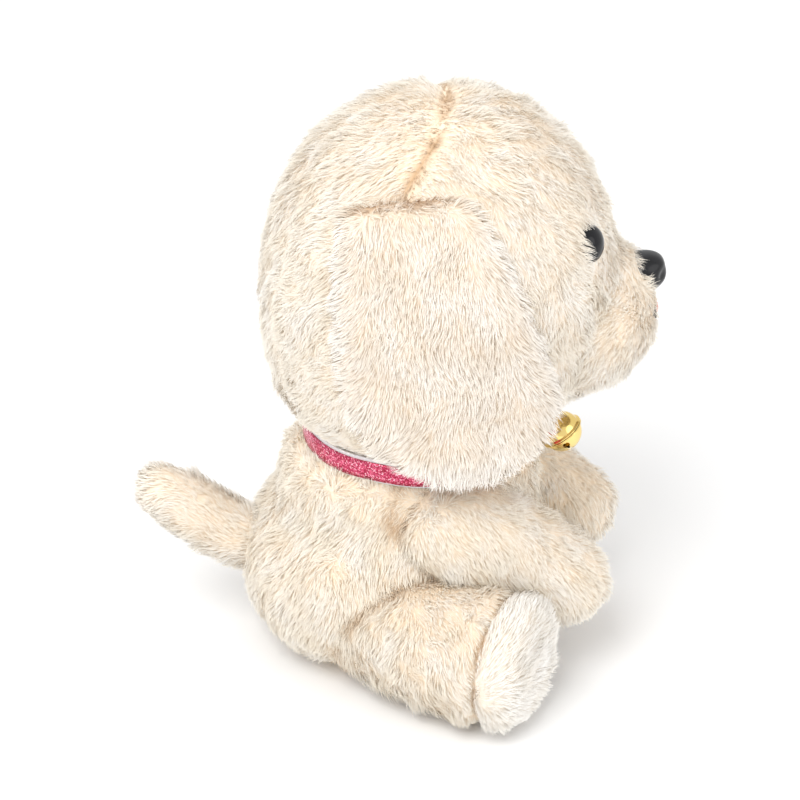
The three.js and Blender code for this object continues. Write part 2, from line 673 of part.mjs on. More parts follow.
const slot = block([-FAR, -BELL.slot / 2, -FAR], [FAR, BELL.slot / 2, -BELL.holeDrop]);
const slotEnds = solidOf(new THREE.CylinderGeometry(BELL.hole, BELL.hole, FAR, 12)
  .rotateZ(Math.PI / 2).translate(0, 0, -BELL.holeDrop));
const lowerShell = bellHalf().rotate([180, 0, 0]).subtract(slot).subtract(slotEnds);
addPiece("bell_lower_shell", hung(lowerShell), "brass");

const rollRadius = BELL.radius - BELL.wall - BELL.clapper - GAP;
const clapper = solidOf(new THREE.SphereGeometry(BELL.clapper, 12, 8));
addPiece("bell_clapper", clapper.translate([0, bellCentre[1], bellCentre[2] - rollRadius]), "brass");

export default puppy;
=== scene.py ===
"""A sitting plush puppy: long-pile body, drop ears, safety eyes and nose, glitter ribbon and bell.

The pile is real geometry: every hair is a narrow tapered ribbon rooted in the cloth of its panel.
Shapes are worked out in millimetres, in the frame of the CAD model, and turned into metres when a
mesh is made. The puppy faces -Y, its right side is -X, and it sits on Z = 0.
"""
import math
from typing import NamedTuple

import bmesh
import bpy
import numpy as np
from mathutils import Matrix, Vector, kdtree


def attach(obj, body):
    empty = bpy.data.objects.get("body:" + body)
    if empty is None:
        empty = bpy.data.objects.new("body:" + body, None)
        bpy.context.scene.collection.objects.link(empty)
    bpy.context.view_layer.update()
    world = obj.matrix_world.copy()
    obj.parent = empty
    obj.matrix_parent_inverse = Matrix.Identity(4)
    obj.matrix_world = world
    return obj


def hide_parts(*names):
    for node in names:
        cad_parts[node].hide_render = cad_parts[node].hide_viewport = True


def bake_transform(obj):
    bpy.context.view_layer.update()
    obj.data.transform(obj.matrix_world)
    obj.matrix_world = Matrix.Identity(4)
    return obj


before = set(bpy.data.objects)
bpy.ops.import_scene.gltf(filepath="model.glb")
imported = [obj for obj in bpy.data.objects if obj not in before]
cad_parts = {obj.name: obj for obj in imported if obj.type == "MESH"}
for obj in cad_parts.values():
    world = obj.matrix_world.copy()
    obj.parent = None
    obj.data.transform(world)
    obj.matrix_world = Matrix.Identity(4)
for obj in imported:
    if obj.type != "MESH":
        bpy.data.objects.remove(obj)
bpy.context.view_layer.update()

MM = 0.001
SEED = 20
SEEDS = {"head": 30, "torso": 50, "foreleg": 70, "hindleg": 90, "tail": 110, "ear": 130}
SIDES = {"right": -1, "left": 1}

# ---------------------------------------------------------------- sizes, as in the CAD model
HEAD = {
    "heart": np.array([0, 2.0, 130]),
    "lobes": [
        ((0, -3, 143), (51.5, 52.5, 51.5)),  # skull
        ((0, 2, 121), (49.5, 49.5, 56)),  # cheeks
        ((0, -43, 121), (26, 27.8, 23)),  # muzzle
    ],
}
TORSO = {
    "heart": np.array([0, 10.0, 42]),
    "lobes": [
        ((0, 15, 30), (44, 45.5, 36.5)),  # rump and belly
        ((0, 7, 58), (40, 40.5, 56)),  # chest and shoulders
    ],
}
LOBE_BLEND = 14
SEAT_SEAM = 6
BELLY = {"top": 42, "low_half_width": 32, "high_half_width": 16}
NECK = {"z": 81.5, "y": 3, "radius": 37.3, "low": 77, "high": 86.3, "slope": 1.0}
CROWN_SEAM = {"side": 9, "top": -4, "bend": 176, "crest": 194}
EYE = {"x": 24, "z": 156, "radius": 6.2, "dome": 4.6, "seat": 0.5, "shank": 1.6, "shank_length": 10}
NOSE = {"z": 134.8, "half_width": 7.5, "half_height": 7.6, "depth": 9.8, "tilt": 0.3}
MOUTH = {"z": 125.6, "drop": 2.6, "half_width": 7.5, "thread": 0.36, "strand": 0.28, "twist": 0.75}
TONGUE = {"radii": (1.9, 2.0, 0.8), "drop": 2.8}
EAR = {"root_angle": 0.72, "hang_angle": 1.6, "length": 85, "reach": 52, "middle": 3.2, "half_thickness": 2.6,
       "widest": 0.72, "tip": 0.68}
FORELEG = {"shoulder": (31.5, -4, 62.5), "radius": 13.8, "inward": 0.18}
FORELEG_POSE = {"right": {"pitch": 0.63, "length": 49}, "left": {"pitch": 0.52, "length": 52}}
HINDLEG_PATH = [(10, 24, 22), (28, 13, 22), (45.5, -7.5, 22.5), (59, -33, 22.5)]
HINDLEG_RADIUS = 21.5
FOOT = {
    "wrap": (5.4, 10.2),  # how far the sole wraps round the leg's end, inwards and back
    "faces": (15, -28),  # which way the sole looks, outwards and forwards
    "split": (46, 42),  # which way the outer panel lies from the inner one, outwards and back
    "whorl": (17, 9),  # where the sole's pile fans out from, outwards and back of its seam
}
TAIL_PATH = [(0, 50, 33), (0, 66, 38), (0, 81, 48.5), (0, 95.5, 58.5)]
TAIL_RADIUS = 8.3
RIBBONS = [  # inner radius, thickness and width of the backing and of the glitter layer
    ("ribbon_back", 37.6, 0.7, 8, "ribbon_backing", "collar_backing"),
    ("ribbon_front", 38.6, 0.5, 6.4, "glitter_ribbon", "collar_ribbon"),
]
BELL = {"radius": 6.8, "wall": 0.5, "lip": 0.7, "rim": 0.6, "slot": 1.3, "hole": 1.2, "hole_drop": 2.4,
        "eyelet": 1.4, "eyelet_wire": 0.45}
BELL_ARM = 8.4  # from the hanger to the middle of the bell
BELL_LEAN = 0.62  # how far that arm leans forwards, in radians
HANGER = {"radius": 2.0, "wire": 0.5, "z": 83.8, "y": -36.8}


# ---------------------------------------------------------------- small vector helpers
def unit(vectors):
    """Vectors along the last axis, made one long."""
    return vectors / np.maximum(np.linalg.norm(vectors, axis=-1, keepdims=True), 1e-9)


def dot(a, b):
    return (a * b).sum(-1)


def smoothstep(low, high, values):
    t = np.clip((values - low) / (high - low), 0, 1)
    return t * t * (3 - 2 * t)


def hump(distance, width):
    """1 at no distance, fading to 0 over about twice the width."""
    return np.exp(-((distance / width) ** 2))


class Waves:
    """Smooth random field: a sum of plane waves of about one wavelength."""

    def __init__(self, wavelength, seed, channels=1, count=14):
        rng = np.random.default_rng(seed)
        directions = unit(rng.normal(size=(channels, count, 3)))
        lengths = wavelength * rng.uniform(0.7, 1.5, (channels, count, 1))
        self.waves = directions * (2 * np.pi / lengths)
        self.phases = rng.uniform(0, 2 * np.pi, (channels, count))
        self.scale = math.sqrt(2 / count)

    def __call__(self, points):
        values = [
            np.sin(points @ waves.T + phases).sum(1) * self.scale
            for waves, phases in zip(self.waves, self.phases)
        ]
        return np.stack(values, 1)


# ---------------------------------------------------------------- shapes
def reach_of_lobe(heart, centre, radii, directions):
    """Distance along each direction from the heart to where it leaves an ellipsoid, or 0."""
    radii = np.array(radii, float)
    start = (heart - np.array(centre)) / radii
    step = directions / radii
    a = dot(step, step)
    b = step @ start
    c = start @ start - 1
    inside = b * b - a * c
    reach = (-b + np.sqrt(np.maximum(inside, 0))) / a
    return np.where((inside > 0) & (reach > 0), reach, 0)


def reach_of(shape, directions):
    total = sum(reach_of_lobe(shape["heart"], *lobe, directions) ** LOBE_BLEND for lobe in shape["lobes"])
    return total ** (1 / LOBE_BLEND)


def height_over(shape, points):
    """Height of points above a radial shape, measured along its spokes."""
    spokes = points - shape["heart"]
    distance = np.linalg.norm(spokes, axis=-1)
    return distance - reach_of(shape, spokes / np.maximum(distance, 1e-9)[..., None])


def head_front(x, z):
    """The frontmost point of the head at x and z, found by halving."""
    outside, inside = -130.0, HEAD["heart"][1]
    for _ in range(40):
        y = (outside + inside) / 2
        if height_over(HEAD, np.array([[x, y, z]], float))[0] > 0:
            outside = y
        else:
            inside = y
    return np.array([x, inside, z], float)


def head_normal(point):
    step = np.eye(3)
    slopes = [height_over(HEAD, (point + s)[None])[0] - height_over(HEAD, (point - s)[None])[0] for s in step]
    return unit(np.array(slopes))


def ico_sphere(subdivisions):
    """Points and triangles of a round sphere."""
    ball = bmesh.new()
    bmesh.ops.create_icosphere(ball, subdivisions=subdivisions, radius=1)
    points = np.array([v.co for v in ball.verts], float)
    triangles = np.array([[v.index for v in f.verts] for f in ball.faces], int)
    ball.free()
    return points, triangles


def radial_surface(shape, subdivisions):
    directions, triangles = ico_sphere(subdivisions)
    return shape["heart"] + directions * reach_of(shape, directions)[:, None], triangles


class Path:
    """A smooth Catmull-Rom curve through a few points, measured along its length."""

    def __init__(self, points):
        p = np.array(points, float)
        p = np.vstack([2 * p[0] - p[1], p, 2 * p[-1] - p[-2]])
        samples = []
        for i in range(1, len(p) - 2):
            t = np.linspace(0, 1, 60)[:, None]
            a, b, c, d = p[i - 1], p[i], p[i + 1], p[i + 2]
            samples.append(0.5 * ((2 * b) + (c - a) * t + (2 * a - 5 * b + 4 * c - d) * t**2
                                  + (3 * b - 3 * c + d - a) * t**3))
        self.points = np.vstack(samples)
        steps = np.linalg.norm(np.diff(self.points, axis=0), axis=1)
        self.along = np.concatenate([[0], np.cumsum(steps)])
        self.length = self.along[-1]

    def at(self, share):
        distance = np.clip(share, 0, 1) * self.length
        return np.stack([np.interp(distance, self.along, self.points[:, k]) for k in range(3)], 1)

    def tangent(self, share):
        return unit(self.at(share + 0.01) - self.at(share - 0.01))


def limb_surface(path, radius_at, roundness, subdivisions, trim=1.3):
    """A rounded limb along a path. A high roundness gives blunt ends."""
    ball, triangles = ico_sphere(subdivisions)
    curve = Path(path)
    share = (1 - ball[:, 1]) / 2
    place = trim / curve.length + share * (1 - 2 * trim / curve.length)
    ahead = curve.tangent(place)
    sideways = unit(np.cross(ahead, [0, 0, 1]))
    upward = np.cross(sideways, ahead)
    bulge = (1 - np.abs(2 * share - 1) ** roundness) ** (1 / roundness)
    ring = np.maximum(np.hypot(ball[:, 0], ball[:, 2]), 1e-9)
    radius = radius_at(place) * bulge
    points = curve.at(place)
    points = points - sideways * (radius * ball[:, 0] / ring)[:, None]
    points = points + upward * (radius * ball[:, 2] / ring)[:, None]
    return points, triangles


def ear_outline(s):
    """Half-width of the ear and its middle, at the share s of its length: a square top and a round tip."""
    spread = 16.5 + 15.5 * np.sin(np.minimum(s / EAR["widest"], 1) * (np.pi / 2))
    shoulder = np.where(s < 0.06, 0.86 + 0.14 * np.sqrt(np.clip(s / 0.06, 0, 1)), 1)
    tip = np.where(s < EAR["tip"], 1, np.sqrt(np.maximum(1 - ((s - EAR["tip"]) / 0.325) ** 2, 0.0)))
    return spread * tip * shoulder, 6 - 19 * s


def ear_point(s, across, offset):
    """Points of the right ear: down the head's side from the seam, then hanging straight."""
    half_width, middle = ear_outline(s)
    reach = EAR["reach"]
    travelled = s * EAR["length"]
    polar = np.minimum(EAR["root_angle"] + travelled / reach, EAR["hang_angle"])
    drop = travelled - (polar - EAR["root_angle"]) * reach
    yaw = (middle + half_width * across) / reach
    direction = np.stack([-np.sin(polar) * np.cos(yaw), np.sin(yaw), np.cos(polar) * np.cos(yaw)], 1)
    points = HEAD["heart"] + direction * (reach_of(HEAD, direction) + offset)[:, None]
    points[:, 2] -= drop
    return points


def ear_surface():
    """The right ear as a flat pillow. Also gives each point's s, across and side."""
    rows, columns = 56, 44
    s = np.linspace(0, 1, rows + 1)
    across = np.sin(np.linspace(-np.pi / 2, np.pi / 2, columns + 1))
    points, places, triangles = [], [], []
    for side in (1, -1):
        for row_s in s:
            row_share = np.full(columns + 1, row_s)
            ends = math.sqrt(min(row_s / 0.05, (1 - row_s) / 0.1, 1))
            crown = np.clip((1 - np.abs(across)) / 0.3, 0, 1) ** 0.5 * ends
            offset = EAR["middle"] + side * (0.25 + (EAR["half_thickness"] - 0.25) * crown)
            points.append(ear_point(row_share, across, offset))
            places.append(np.stack([row_share, across, np.full(columns + 1, side)], 1))
    stride = columns + 1
    layer = (rows + 1) * stride
    for start, turned in ((0, False), (layer, True)):
        for row in range(rows):
            for column in range(columns):
                a = start + row * stride + column
                quad = [a, a + 1, a + stride + 1, a + stride]
                if turned:
                    quad.reverse()
                triangles += [[quad[0], quad[1], quad[2]], [quad[0], quad[2], quad[3]]]
    rim = list(range(columns)) + [r * stride + columns for r in range(rows)]
    rim += [rows * stride + c for c in range(columns, 0, -1)] + [r * stride for r in range(rows, 0, -1)]
    for i, a in enumerate(rim):
        b = rim[(i + 1) % len(rim)]
        triangles += [[a, layer + a, layer + b], [a, layer + b, b]]
    return np.vstack(points), np.array(triangles, int), np.vstack(places)


def normals_of(points, triangles):
    """Smooth vertex normals."""
    a, b, c = (points[triangles[:, k]] for k in range(3))
    face = np.cross(b - a, c - a)
    normals = np.zeros_like(points)
    for k in range(3):
        np.add.at(normals, triangles[:, k], face)
    return unit(normals)


# ---------------------------------------------------------------- the pile
class Pile(NamedTuple):
    """What the hairs of one kind of plush look like, in millimetres."""

    length: float
    width: float
    density: float  # hairs per square millimetre
    rise: float = 0.85  # how steeply a hair leaves the cloth
    settle: float = 0.38  # how much of that height it loses towards its tip
    gather: float = 0.4  # how far tips draw together into tufts
    tuft: float = 1.4  # distance between tufts
    ruffle: float = 0.34  # how far the pile strays from the way it is brushed


LONG = Pile(length=4.6, width=0.24, density=2.8)
SMOOTH = Pile(length=4.4, width=0.23, density=2.9, gather=0.25, ruffle=0.22)
FACE = Pile(length=4.4, width=0.23, density=2.9, gather=0.3, ruffle=0.28)
MUZZLE = Pile(length=4.0, width=0.23, density=3.3, gather=0.35, tuft=1.2)
EAR_OUTER = Pile(length=4.8, width=0.24, density=3.0, rise=0.75, tuft=1.6, ruffle=0.26)
EAR_LINING = Pile(length=3.6, width=0.26, density=2.3, rise=0.65, tuft=1.2)
SOLE = Pile(length=5.0, width=0.24, density=3.0, rise=0.75, gather=0.3, ruffle=0.15)
HAIR_ROLL = 0.18  # how far hairs turn out of the plane of the cloth
HAIR_STRAY = 0.14  # how far each hair strays on its own
THINNING = 0.2  # how much the pile thins and thickens in patches
LOWEST_HAIR = 0.25  # gap between the floor and the lowest hairs
LOFT = 1.7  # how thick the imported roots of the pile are, over the sewn shape
HAIR_SOFTNESS = 0.94  # how far a hair catches the light as the cloth under it would
BODY_DULLNESS = 0.14  # how much duller the body is than the head
DULLEST = 0.55  # shade of the dullest hair out in the open
SHADE_DRIFT = 0.13  # paler and darker patches
SHADE_NOISE = 0.08  # and from hair to hair
PALENESS = 0.7  # shade of an ordinary hair, from 0, painted shade in a fold, to 1 at a pale edge
HIDDEN = 0.8  # share of the hairs kept where another part covers the pile

swirl = Waves(26, SEED + 1, channels=3)
tufting = Waves(9, SEED + 2, channels=3)
shading = Waves(14, SEED + 3)
thinning = Waves(7, SEED + 4)

HAIR_LEVELS = np.array([0.0, 0.52, 1.0])
HAIR_TAPER = np.array([1.0, 0.85, 0.0])
HALF_UV_WIDTH = 0.004  # half of a hair on the map that the bake uses


def areas_of(points, triangles):
    a, b, c = (points[triangles[:, k]] for k in range(3))
    return np.linalg.norm(np.cross(b - a, c - a), axis=1) / 2


def scatter(points, triangles, normals, count, rng):
    """Random places on a surface, and the normals there."""
    area = areas_of(points, triangles)
    chosen = rng.choice(len(triangles), count, p=area / area.sum())
    u, v = rng.random(count), rng.random(count)
    flip = u + v > 1
    u[flip], v[flip] = 1 - u[flip], 1 - v[flip]
    weights = np.stack([1 - u - v, u, v], 1)
    corners = triangles[chosen]
    where = (points[corners] * weights[..., None]).sum(1)
    return where, unit((normals[corners] * weights[..., None]).sum(1))


def nearest_tuft(where, pile, rng):
    """For each hair, the number of the hair at the middle of its tuft."""
    share = 1 / (pile.density * pile.tuft**2)
    tufts = rng.choice(len(where), max(int(len(where) * share), 1), replace=False)
    tree = kdtree.KDTree(len(tufts))
    for tuft in tufts:
        tree.insert(where[tuft], int(tuft))
    tree.balance()
    return np.array([tree.find(place)[1] for place in where], int)


def hairs(where, up, flow, length, pile, rng):
    """Both edges of every hair's ribbon, as (count, levels, 2, 3), and the way each level faces."""
    count = len(where)
    drift = pile.ruffle * (0.75 * swirl(where) + 0.5 * tufting(where))
    flow = flow + (drift + HAIR_STRAY * rng.normal(size=(count, 3)))
    along = unit(flow - up * dot(flow, up)[:, None])
    length = length * rng.uniform(0.75, 1.12, count)
    rise = pile.rise * rng.uniform(0.8, 1.2, count) * (1 + 0.15 * tufting(where)[:, 0])
    settle = pile.settle * rng.uniform(0.7, 1.3, count)
    t = HAIR_LEVELS[None, :, None]
    lift = rise[:, None, None] * t - settle[:, None, None] * t**2
    run = 0.45 * t + 0.35 * t**2
    offset = length[:, None, None] * (up[:, None] * lift + along[:, None] * run)
    tuft = nearest_tuft(where, pile, rng)
    gather = pile.gather * rng.uniform(0.4, 1.0, count)[:, None, None] * t**1.4
    own = where[:, None] + offset
    shared = where[tuft][:, None] + offset[tuft]
    line = own + (shared - own) * gather
    tangent = unit(np.gradient(line, axis=1))
    roll = rng.normal(size=(count, 1, 3)) * HAIR_ROLL
    across = unit(np.cross(tangent, up[:, None] + roll))
    facing = np.cross(across, tangent)
    across *= np.sign(dot(facing, up[:, None]))[..., None]
    facing = np.cross(across, tangent)
    facing = unit(HAIR_SOFTNESS * up[:, None] + (1 - HAIR_SOFTNESS) * facing)
    width = pile.width * rng.uniform(0.75, 1.25, count)[:, None, None] * HAIR_TAPER[None, :, None] / 2
    return np.stack([line - across * width, line + across * width], 2), facing


def furred_mesh(name, cloth, cloth_shades, ribbons, facing, shades, material):
    """One mesh with the cloth and its hairs. UV u is the shade and v runs from root to tip."""
    skin_points, skin_triangles, skin_normals = cloth
    count = len(ribbons)
    last = len(HAIR_LEVELS) - 1
    per_hair = 2 * last + 1
    edge_points = ribbons[:, :last].reshape(count, 2 * last, 3)
    edge_normals = np.repeat(facing[:, :last], 2, axis=1)
    hair_points = np.concatenate([edge_points, ribbons[:, last, :1]], 1).reshape(-1, 3)
    hair_normals = np.concatenate([edge_normals, facing[:, last:]], 1).reshape(-1, 3)
    base = len(skin_points) + per_hair * np.arange(count)[:, None]
    quads = [base + [2 * k, 2 * k + 1, 2 * k + 3, 2 * k + 2] for k in range(last - 1)]
    ends = base + [per_hair - 3, per_hair - 2, per_hair - 1]
    corners = np.concatenate([skin_triangles.ravel(), *(quad.ravel() for quad in quads), ends.ravel()])
    quad_count = count * (last - 1)
    sizes = np.repeat([3, 4, 3], [len(skin_triangles), quad_count, count])
    starts = np.concatenate([[0], np.cumsum(sizes)[:-1]])
    everything = np.vstack([skin_points, hair_points]) * MM

    mesh = bpy.data.meshes.new(name)
    mesh.vertices.add(len(everything))
    mesh.vertices.foreach_set("co", everything.astype(np.float32).ravel())
    mesh.loops.add(len(corners))
    mesh.loops.foreach_set("vertex_index", corners.astype(np.int32))
    mesh.polygons.add(len(sizes))
    mesh.polygons.foreach_set("loop_start", starts.astype(np.int32))
    mesh.polygons.foreach_set("use_smooth", np.ones(len(sizes), bool))
    mesh.update(calc_edges=True)

    low, high = shades - HALF_UV_WIDTH, shades + HALF_UV_WIDTH
    u = [cloth_shades[skin_triangles].ravel()]
    v = [np.tile([0.0, 0.0, 0.02], len(skin_triangles))]
    for lower, upper in zip(HAIR_LEVELS[:-2], HAIR_LEVELS[1:-1]):
        u.append(np.stack([low, high, high, low], 1).ravel())
        v.append(np.tile([lower, lower, upper, upper], count))
    u.append(np.stack([low, high, shades], 1).ravel())
    v.append(np.tile([HAIR_LEVELS[-2], HAIR_LEVELS[-2], 1.0], count))
    layer = mesh.uv_layers.new(name="OFBake")
    uv = np.stack([np.concatenate(u), np.concatenate(v)], 1)
    layer.data.foreach_set("uv", uv.astype(np.float32).ravel())
    mesh.materials.append(material)
    mesh.validate()
    mesh.normals_split_custom_set_from_vertices(np.vstack([skin_normals, hair_normals]).tolist())
    return mesh


def submesh(points, triangles, normals):
    """Only the points that the triangles use."""
    used, renumbered = np.unique(triangles, return_inverse=True)
    return points[used], renumbered.reshape(triangles.shape), normals[used]


def shades_of(where, tone_and_painted_shade_at, noise):
    """Paler and darker drifts over the pile, with the panel's own tone and its painted shade at seams and
    folds on top.
    """
    shade = np.clip(PALENESS + SHADE_DRIFT * shading(where)[:, 0] + noise, DULLEST, 1)
    return np.clip(shade + tone_and_painted_shade_at(where), 0.01, 0.99)


def add_object(name, mesh):
    piece = bpy.data.objects.new(name, mesh)
    bpy.context.scene.collection.objects.link(piece)
    return piece


def finish_piece(piece, body, node):
    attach(piece, body)
    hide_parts(node)


# ---------------------------------------------------------------- materials
def new_material(name):
    """A material, its nodes, its links and its main shader."""
    material = bpy.data.materials.new(name)
    material.use_nodes = True
    tree = material.node_tree
    return material, tree.nodes, tree.links, tree.nodes["Principled BSDF"]


def set_values(node, values):
    for name, value in values.items():
        node.inputs[name].default_value = value


def ramp(nodes, stops):
    node = nodes.new("ShaderNodeValToRGB")
    elements = node.color_ramp.elements
    while len(elements) < len(stops):
        elements.new(0.5)
    for element, (position, colour) in zip(elements, stops):
        element.position = position
        element.color = (*colour, 1)
    return node


def plush_material(name, root, middle, tip, crease, dull, bright):
    """Colour from root to tip of a hair, times its own shade: painted shade in creases, in tan, up to pale at
    edges.
    """
    material, nodes, links, shader = new_material(name)
    uv = nodes.new("ShaderNodeUVMap")
    uv.uv_map = "OFBake"
    split = nodes.new("ShaderNodeSeparateXYZ")
    links.new(uv.outputs["UV"], split.inputs[0])
    length_ramp = ramp(nodes, [(0.0, root), (0.45, middle), (1.0, tip)])
    # Low shades take the crease colour: painted shade for hairs in creases and beside seams.
    shade_ramp = ramp(nodes, [(0.0, crease), (0.4, dull), (1.0, bright)])
    links.new(split.outputs["Y"], length_ramp.inputs[0])
    links.new(split.outputs["X"], shade_ramp.inputs[0])
    mix = nodes.new("ShaderNodeMix")
    mix.data_type = "RGBA"
    mix.blend_type = "MULTIPLY"
    mix.inputs[0].default_value = 1.0
    links.new(length_ramp.outputs[0], mix.inputs[6])
    links.new(shade_ramp.outputs[0], mix.inputs[7])
    links.new(mix.outputs[2], shader.inputs["Base Color"])
    set_values(shader, {"Roughness": 0.85, "Specular IOR Level": 0.15})
    set_values(shader, {"Sheen Weight": 0.15, "Sheen Roughness": 0.6})
    return material


def colour_and_bump(nodes, links, shader, shade, height, stops, strength, depth):
    """Colours a shader by one texture output and raises it by another."""
    colours = ramp(nodes, stops)
    links.new(shade, colours.inputs[0])
    links.new(colours.outputs[0], shader.inputs["Base Color"])
    relief = nodes.new("ShaderNodeBump")
    set_values(relief, {"Strength": strength, "Distance": depth})
    links.new(height, relief.inputs["Height"])
    links.new(relief.outputs[0], shader.inputs["Normal"])


def textured_material(name, dark, light, scale, roughness, bump=0.2, metallic=0.0, specular=0.5):
    """A noise-mottled material for the small hard and woven parts."""
    material, nodes, links, shader = new_material(name)
    place = nodes.new("ShaderNodeTexCoord")
    noise = nodes.new("ShaderNodeTexNoise")
    set_values(noise, {"Scale": scale, "Detail": 4.0})
    links.new(place.outputs["Object"], noise.inputs["Vector"])
    mottle = noise.outputs["Fac"]
    colour_and_bump(nodes, links, shader, mottle, mottle, [(0.3, dark), (0.7, light)], bump, 0.0002)
    set_values(shader, {"Roughness": roughness, "Metallic": metallic, "Specular IOR Level": specular})
    return material


def glitter_material():
    """Tiny mirror flakes, each with its own tilt and shade of pink."""
    material, nodes, links, shader = new_material("glitter")
    place = nodes.new("ShaderNodeTexCoord")
    flakes = nodes.new("ShaderNodeTexVoronoi")
    set_values(flakes, {"Scale": 2600})
    links.new(place.outputs["Object"], flakes.inputs["Vector"])
    split = nodes.new("ShaderNodeSeparateColor")
    links.new(flakes.outputs["Color"], split.inputs[0])
    pinks = [(0.0, (0.30, 0.012, 0.035)), (0.5, (0.60, 0.04, 0.12)), (0.8, (0.82, 0.16, 0.28)),
             (1.0, (1.0, 0.62, 0.72))]
    colour_and_bump(nodes, links, shader, split.outputs[0], split.outputs[1], pinks, 0.9, 0.0003)
    set_values(shader, {"Roughness": 0.3, "Metallic": 0.55})
    return material


# The fourth colour of each plush is the painted shade of hairs in creases and beside seams.
plush = plush_material("plush", (0.93, 0.82, 0.69), (0.94, 0.89, 0.81), (0.945, 0.92, 0.87),
                       (0.62, 0.46, 0.31), (0.965, 0.92, 0.84), (1.0, 1.0, 1.0))
ear_plush = plush_material("ear_plush", (0.91, 0.81, 0.69), (0.93, 0.875, 0.80), (0.95, 0.92, 0.88),
                           (0.60, 0.45, 0.32), (0.93, 0.88, 0.81), (1.0, 1.0, 1.0))
sole_plush = plush_material("sole_plush", (0.94, 0.87, 0.78), (0.965, 0.94, 0.90), (0.975, 0.96, 0.935),
                            (0.60, 0.45, 0.32), (0.96, 0.94, 0.90), (1.0, 1.0, 1.0))
black_plastic = textured_material("black_plastic", (0.003, 0.003, 0.004), (0.008, 0.008, 0.010), 60, 0.1,
                                  bump=0.02, specular=0.3)
nose_plastic = textured_material("nose_plastic", (0.004, 0.004, 0.005), (0.010, 0.010, 0.012), 400, 0.24,
                                 bump=0.35, specular=0.35)
washer_plastic = textured_material("washer_plastic", (0.7, 0.7, 0.68), (0.85, 0.85, 0.83), 300, 0.5)
stuffing = textured_material("stuffing", (0.85, 0.84, 0.80), (0.97, 0.97, 0.95), 120, 0.95, bump=0.8)
black_thread = textured_material("black_thread", (0.006, 0.005, 0.005), (0.03, 0.027, 0.026), 2500, 0.7,
                                 bump=0.8)
tongue_felt = textured_material("tongue_felt", (0.75, 0.25, 0.24), (0.92, 0.42, 0.38), 900, 0.9, bump=0.6)
white_ribbon = textured_material("white_ribbon", (0.78, 0.76, 0.80), (0.93, 0.92, 0.95), 1500, 0.55,
                                 bump=0.3)
gold = textured_material("gold", (0.86, 0.62, 0.20), (0.98, 0.78, 0.33), 90, 0.14, bump=0.04, metallic=1.0)
glitter = glitter_material()


# ---------------------------------------------------------------- panels of plush
def everywhere(where):
    return np.ones(len(where))


def untinted(where):
    return np.zeros(len(where))


def make_panel(name, body, node, cloth, flow_at, pile, material, seed,
               length_at=everywhere, keep_at=everywhere, tone_and_painted_shade_at=untinted, cover=1.0):
    """A panel's cloth, as points, triangles and normals, with its pile. The functions take places and give
    the way the pile is brushed, the share of its length, the share of hairs kept, and what tone and
    painted shade to add."""
    rng = np.random.default_rng(seed)
    points, triangles, normals = cloth
    count = int(areas_of(points, triangles).sum() * pile.density * cover)
    where, up = scatter(points, triangles, normals, count, rng)
    kept = rng.random(count) < keep_at(where) * (1 + THINNING * thinning(where)[:, 0])
    where, up = where[kept], up[kept]
    ribbons, facing = hairs(where, up, flow_at(where), pile.length * length_at(where), pile, rng)
    ribbons[..., 2] = np.maximum(ribbons[..., 2], LOWEST_HAIR)
    shades = shades_of(where, tone_and_painted_shade_at, SHADE_NOISE * rng.normal(size=len(where)))
    cloth = submesh(points, triangles, normals)
    mesh = furred_mesh(name, cloth, shades_of(cloth[0], tone_and_painted_shade_at, 0), ribbons, facing, shades, material)
    piece = add_object(name, mesh)
    finish_piece(piece, body, node)
    return piece


def pinch(points, normals, distance, depth, width):
    """The cloth drawn in along a seam."""
    return points - normals * (depth * hump(distance, width))[:, None]


def neck_groove(points):
    """The cloth drawn in where the collar ties round the neck."""
    away = np.maximum(NECK["low"] - points[:, 2], points[:, 2] - NECK["high"])
    limit = NECK["radius"] + NECK["slope"] * np.maximum(away, 0)
    middle = np.array([0, NECK["y"]])
    spoke = points[:, :2] - middle
    radius = np.linalg.norm(spoke, axis=1)
    drawn = -2 * np.logaddexp(-radius / 2, -limit / 2)
    near = np.abs(points[:, 2] - NECK["z"]) < 16
    share = np.where(near, drawn / np.maximum(radius, 1e-9), 1)
    result = points.copy()
    result[:, :2] = middle + spoke * share[:, None]
    return result


def lofted(points, normals, extra=0.0):
    """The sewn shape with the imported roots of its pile, thinner at the neck and the floor."""
    open_neck = smoothstep(3.5, 9, np.abs(points[:, 2] - NECK["z"]))
    off_floor = smoothstep(0, 9, points[:, 2])
    return points + normals * ((LOFT + extra) * open_neck * off_floor)[:, None]


def sewn(points, triangles, seams, extra=lambda points: 0.0):
    """A stuffed shape drawn in along its seams, each a way to measure off the seam, a depth and a width."""
    up = normals_of(points, triangles)
    for distance, depth, width in seams:
        points = pinch(points, up, distance(points), depth, width)
    points = lofted(points, up, extra(points))
    return points, normals_of(points, triangles)


def off_middle(points):
    return np.abs(points[:, 0])


def seam_parting(distance):
    """Hairs are shorter beside a seam."""
    return 0.45 + 0.55 * smoothstep(0, 3, distance)


def painted_crease_shade(distance, width, depth):
    """Painted shade: darker hairs beside a seam or in a fold, where shade falls."""
    return -depth * hump(distance, width)


# ---------------------------------------------------------------- head
def crown_distance(points):
    """Signed distance in front of (negative) or behind the seam from ear to ear."""
    seam = CROWN_SEAM
    lean = np.array([seam["crest"] - seam["bend"], seam["side"] - seam["top"]], float)
    lean /= np.linalg.norm(lean)
    upright = points[:, 1] - seam["side"]
    leaning = (points[:, 1] - seam["side"]) * lean[0] + (points[:, 2] - seam["bend"]) * lean[1]
    return np.where(points[:, 2] < seam["bend"], upright, leaning)


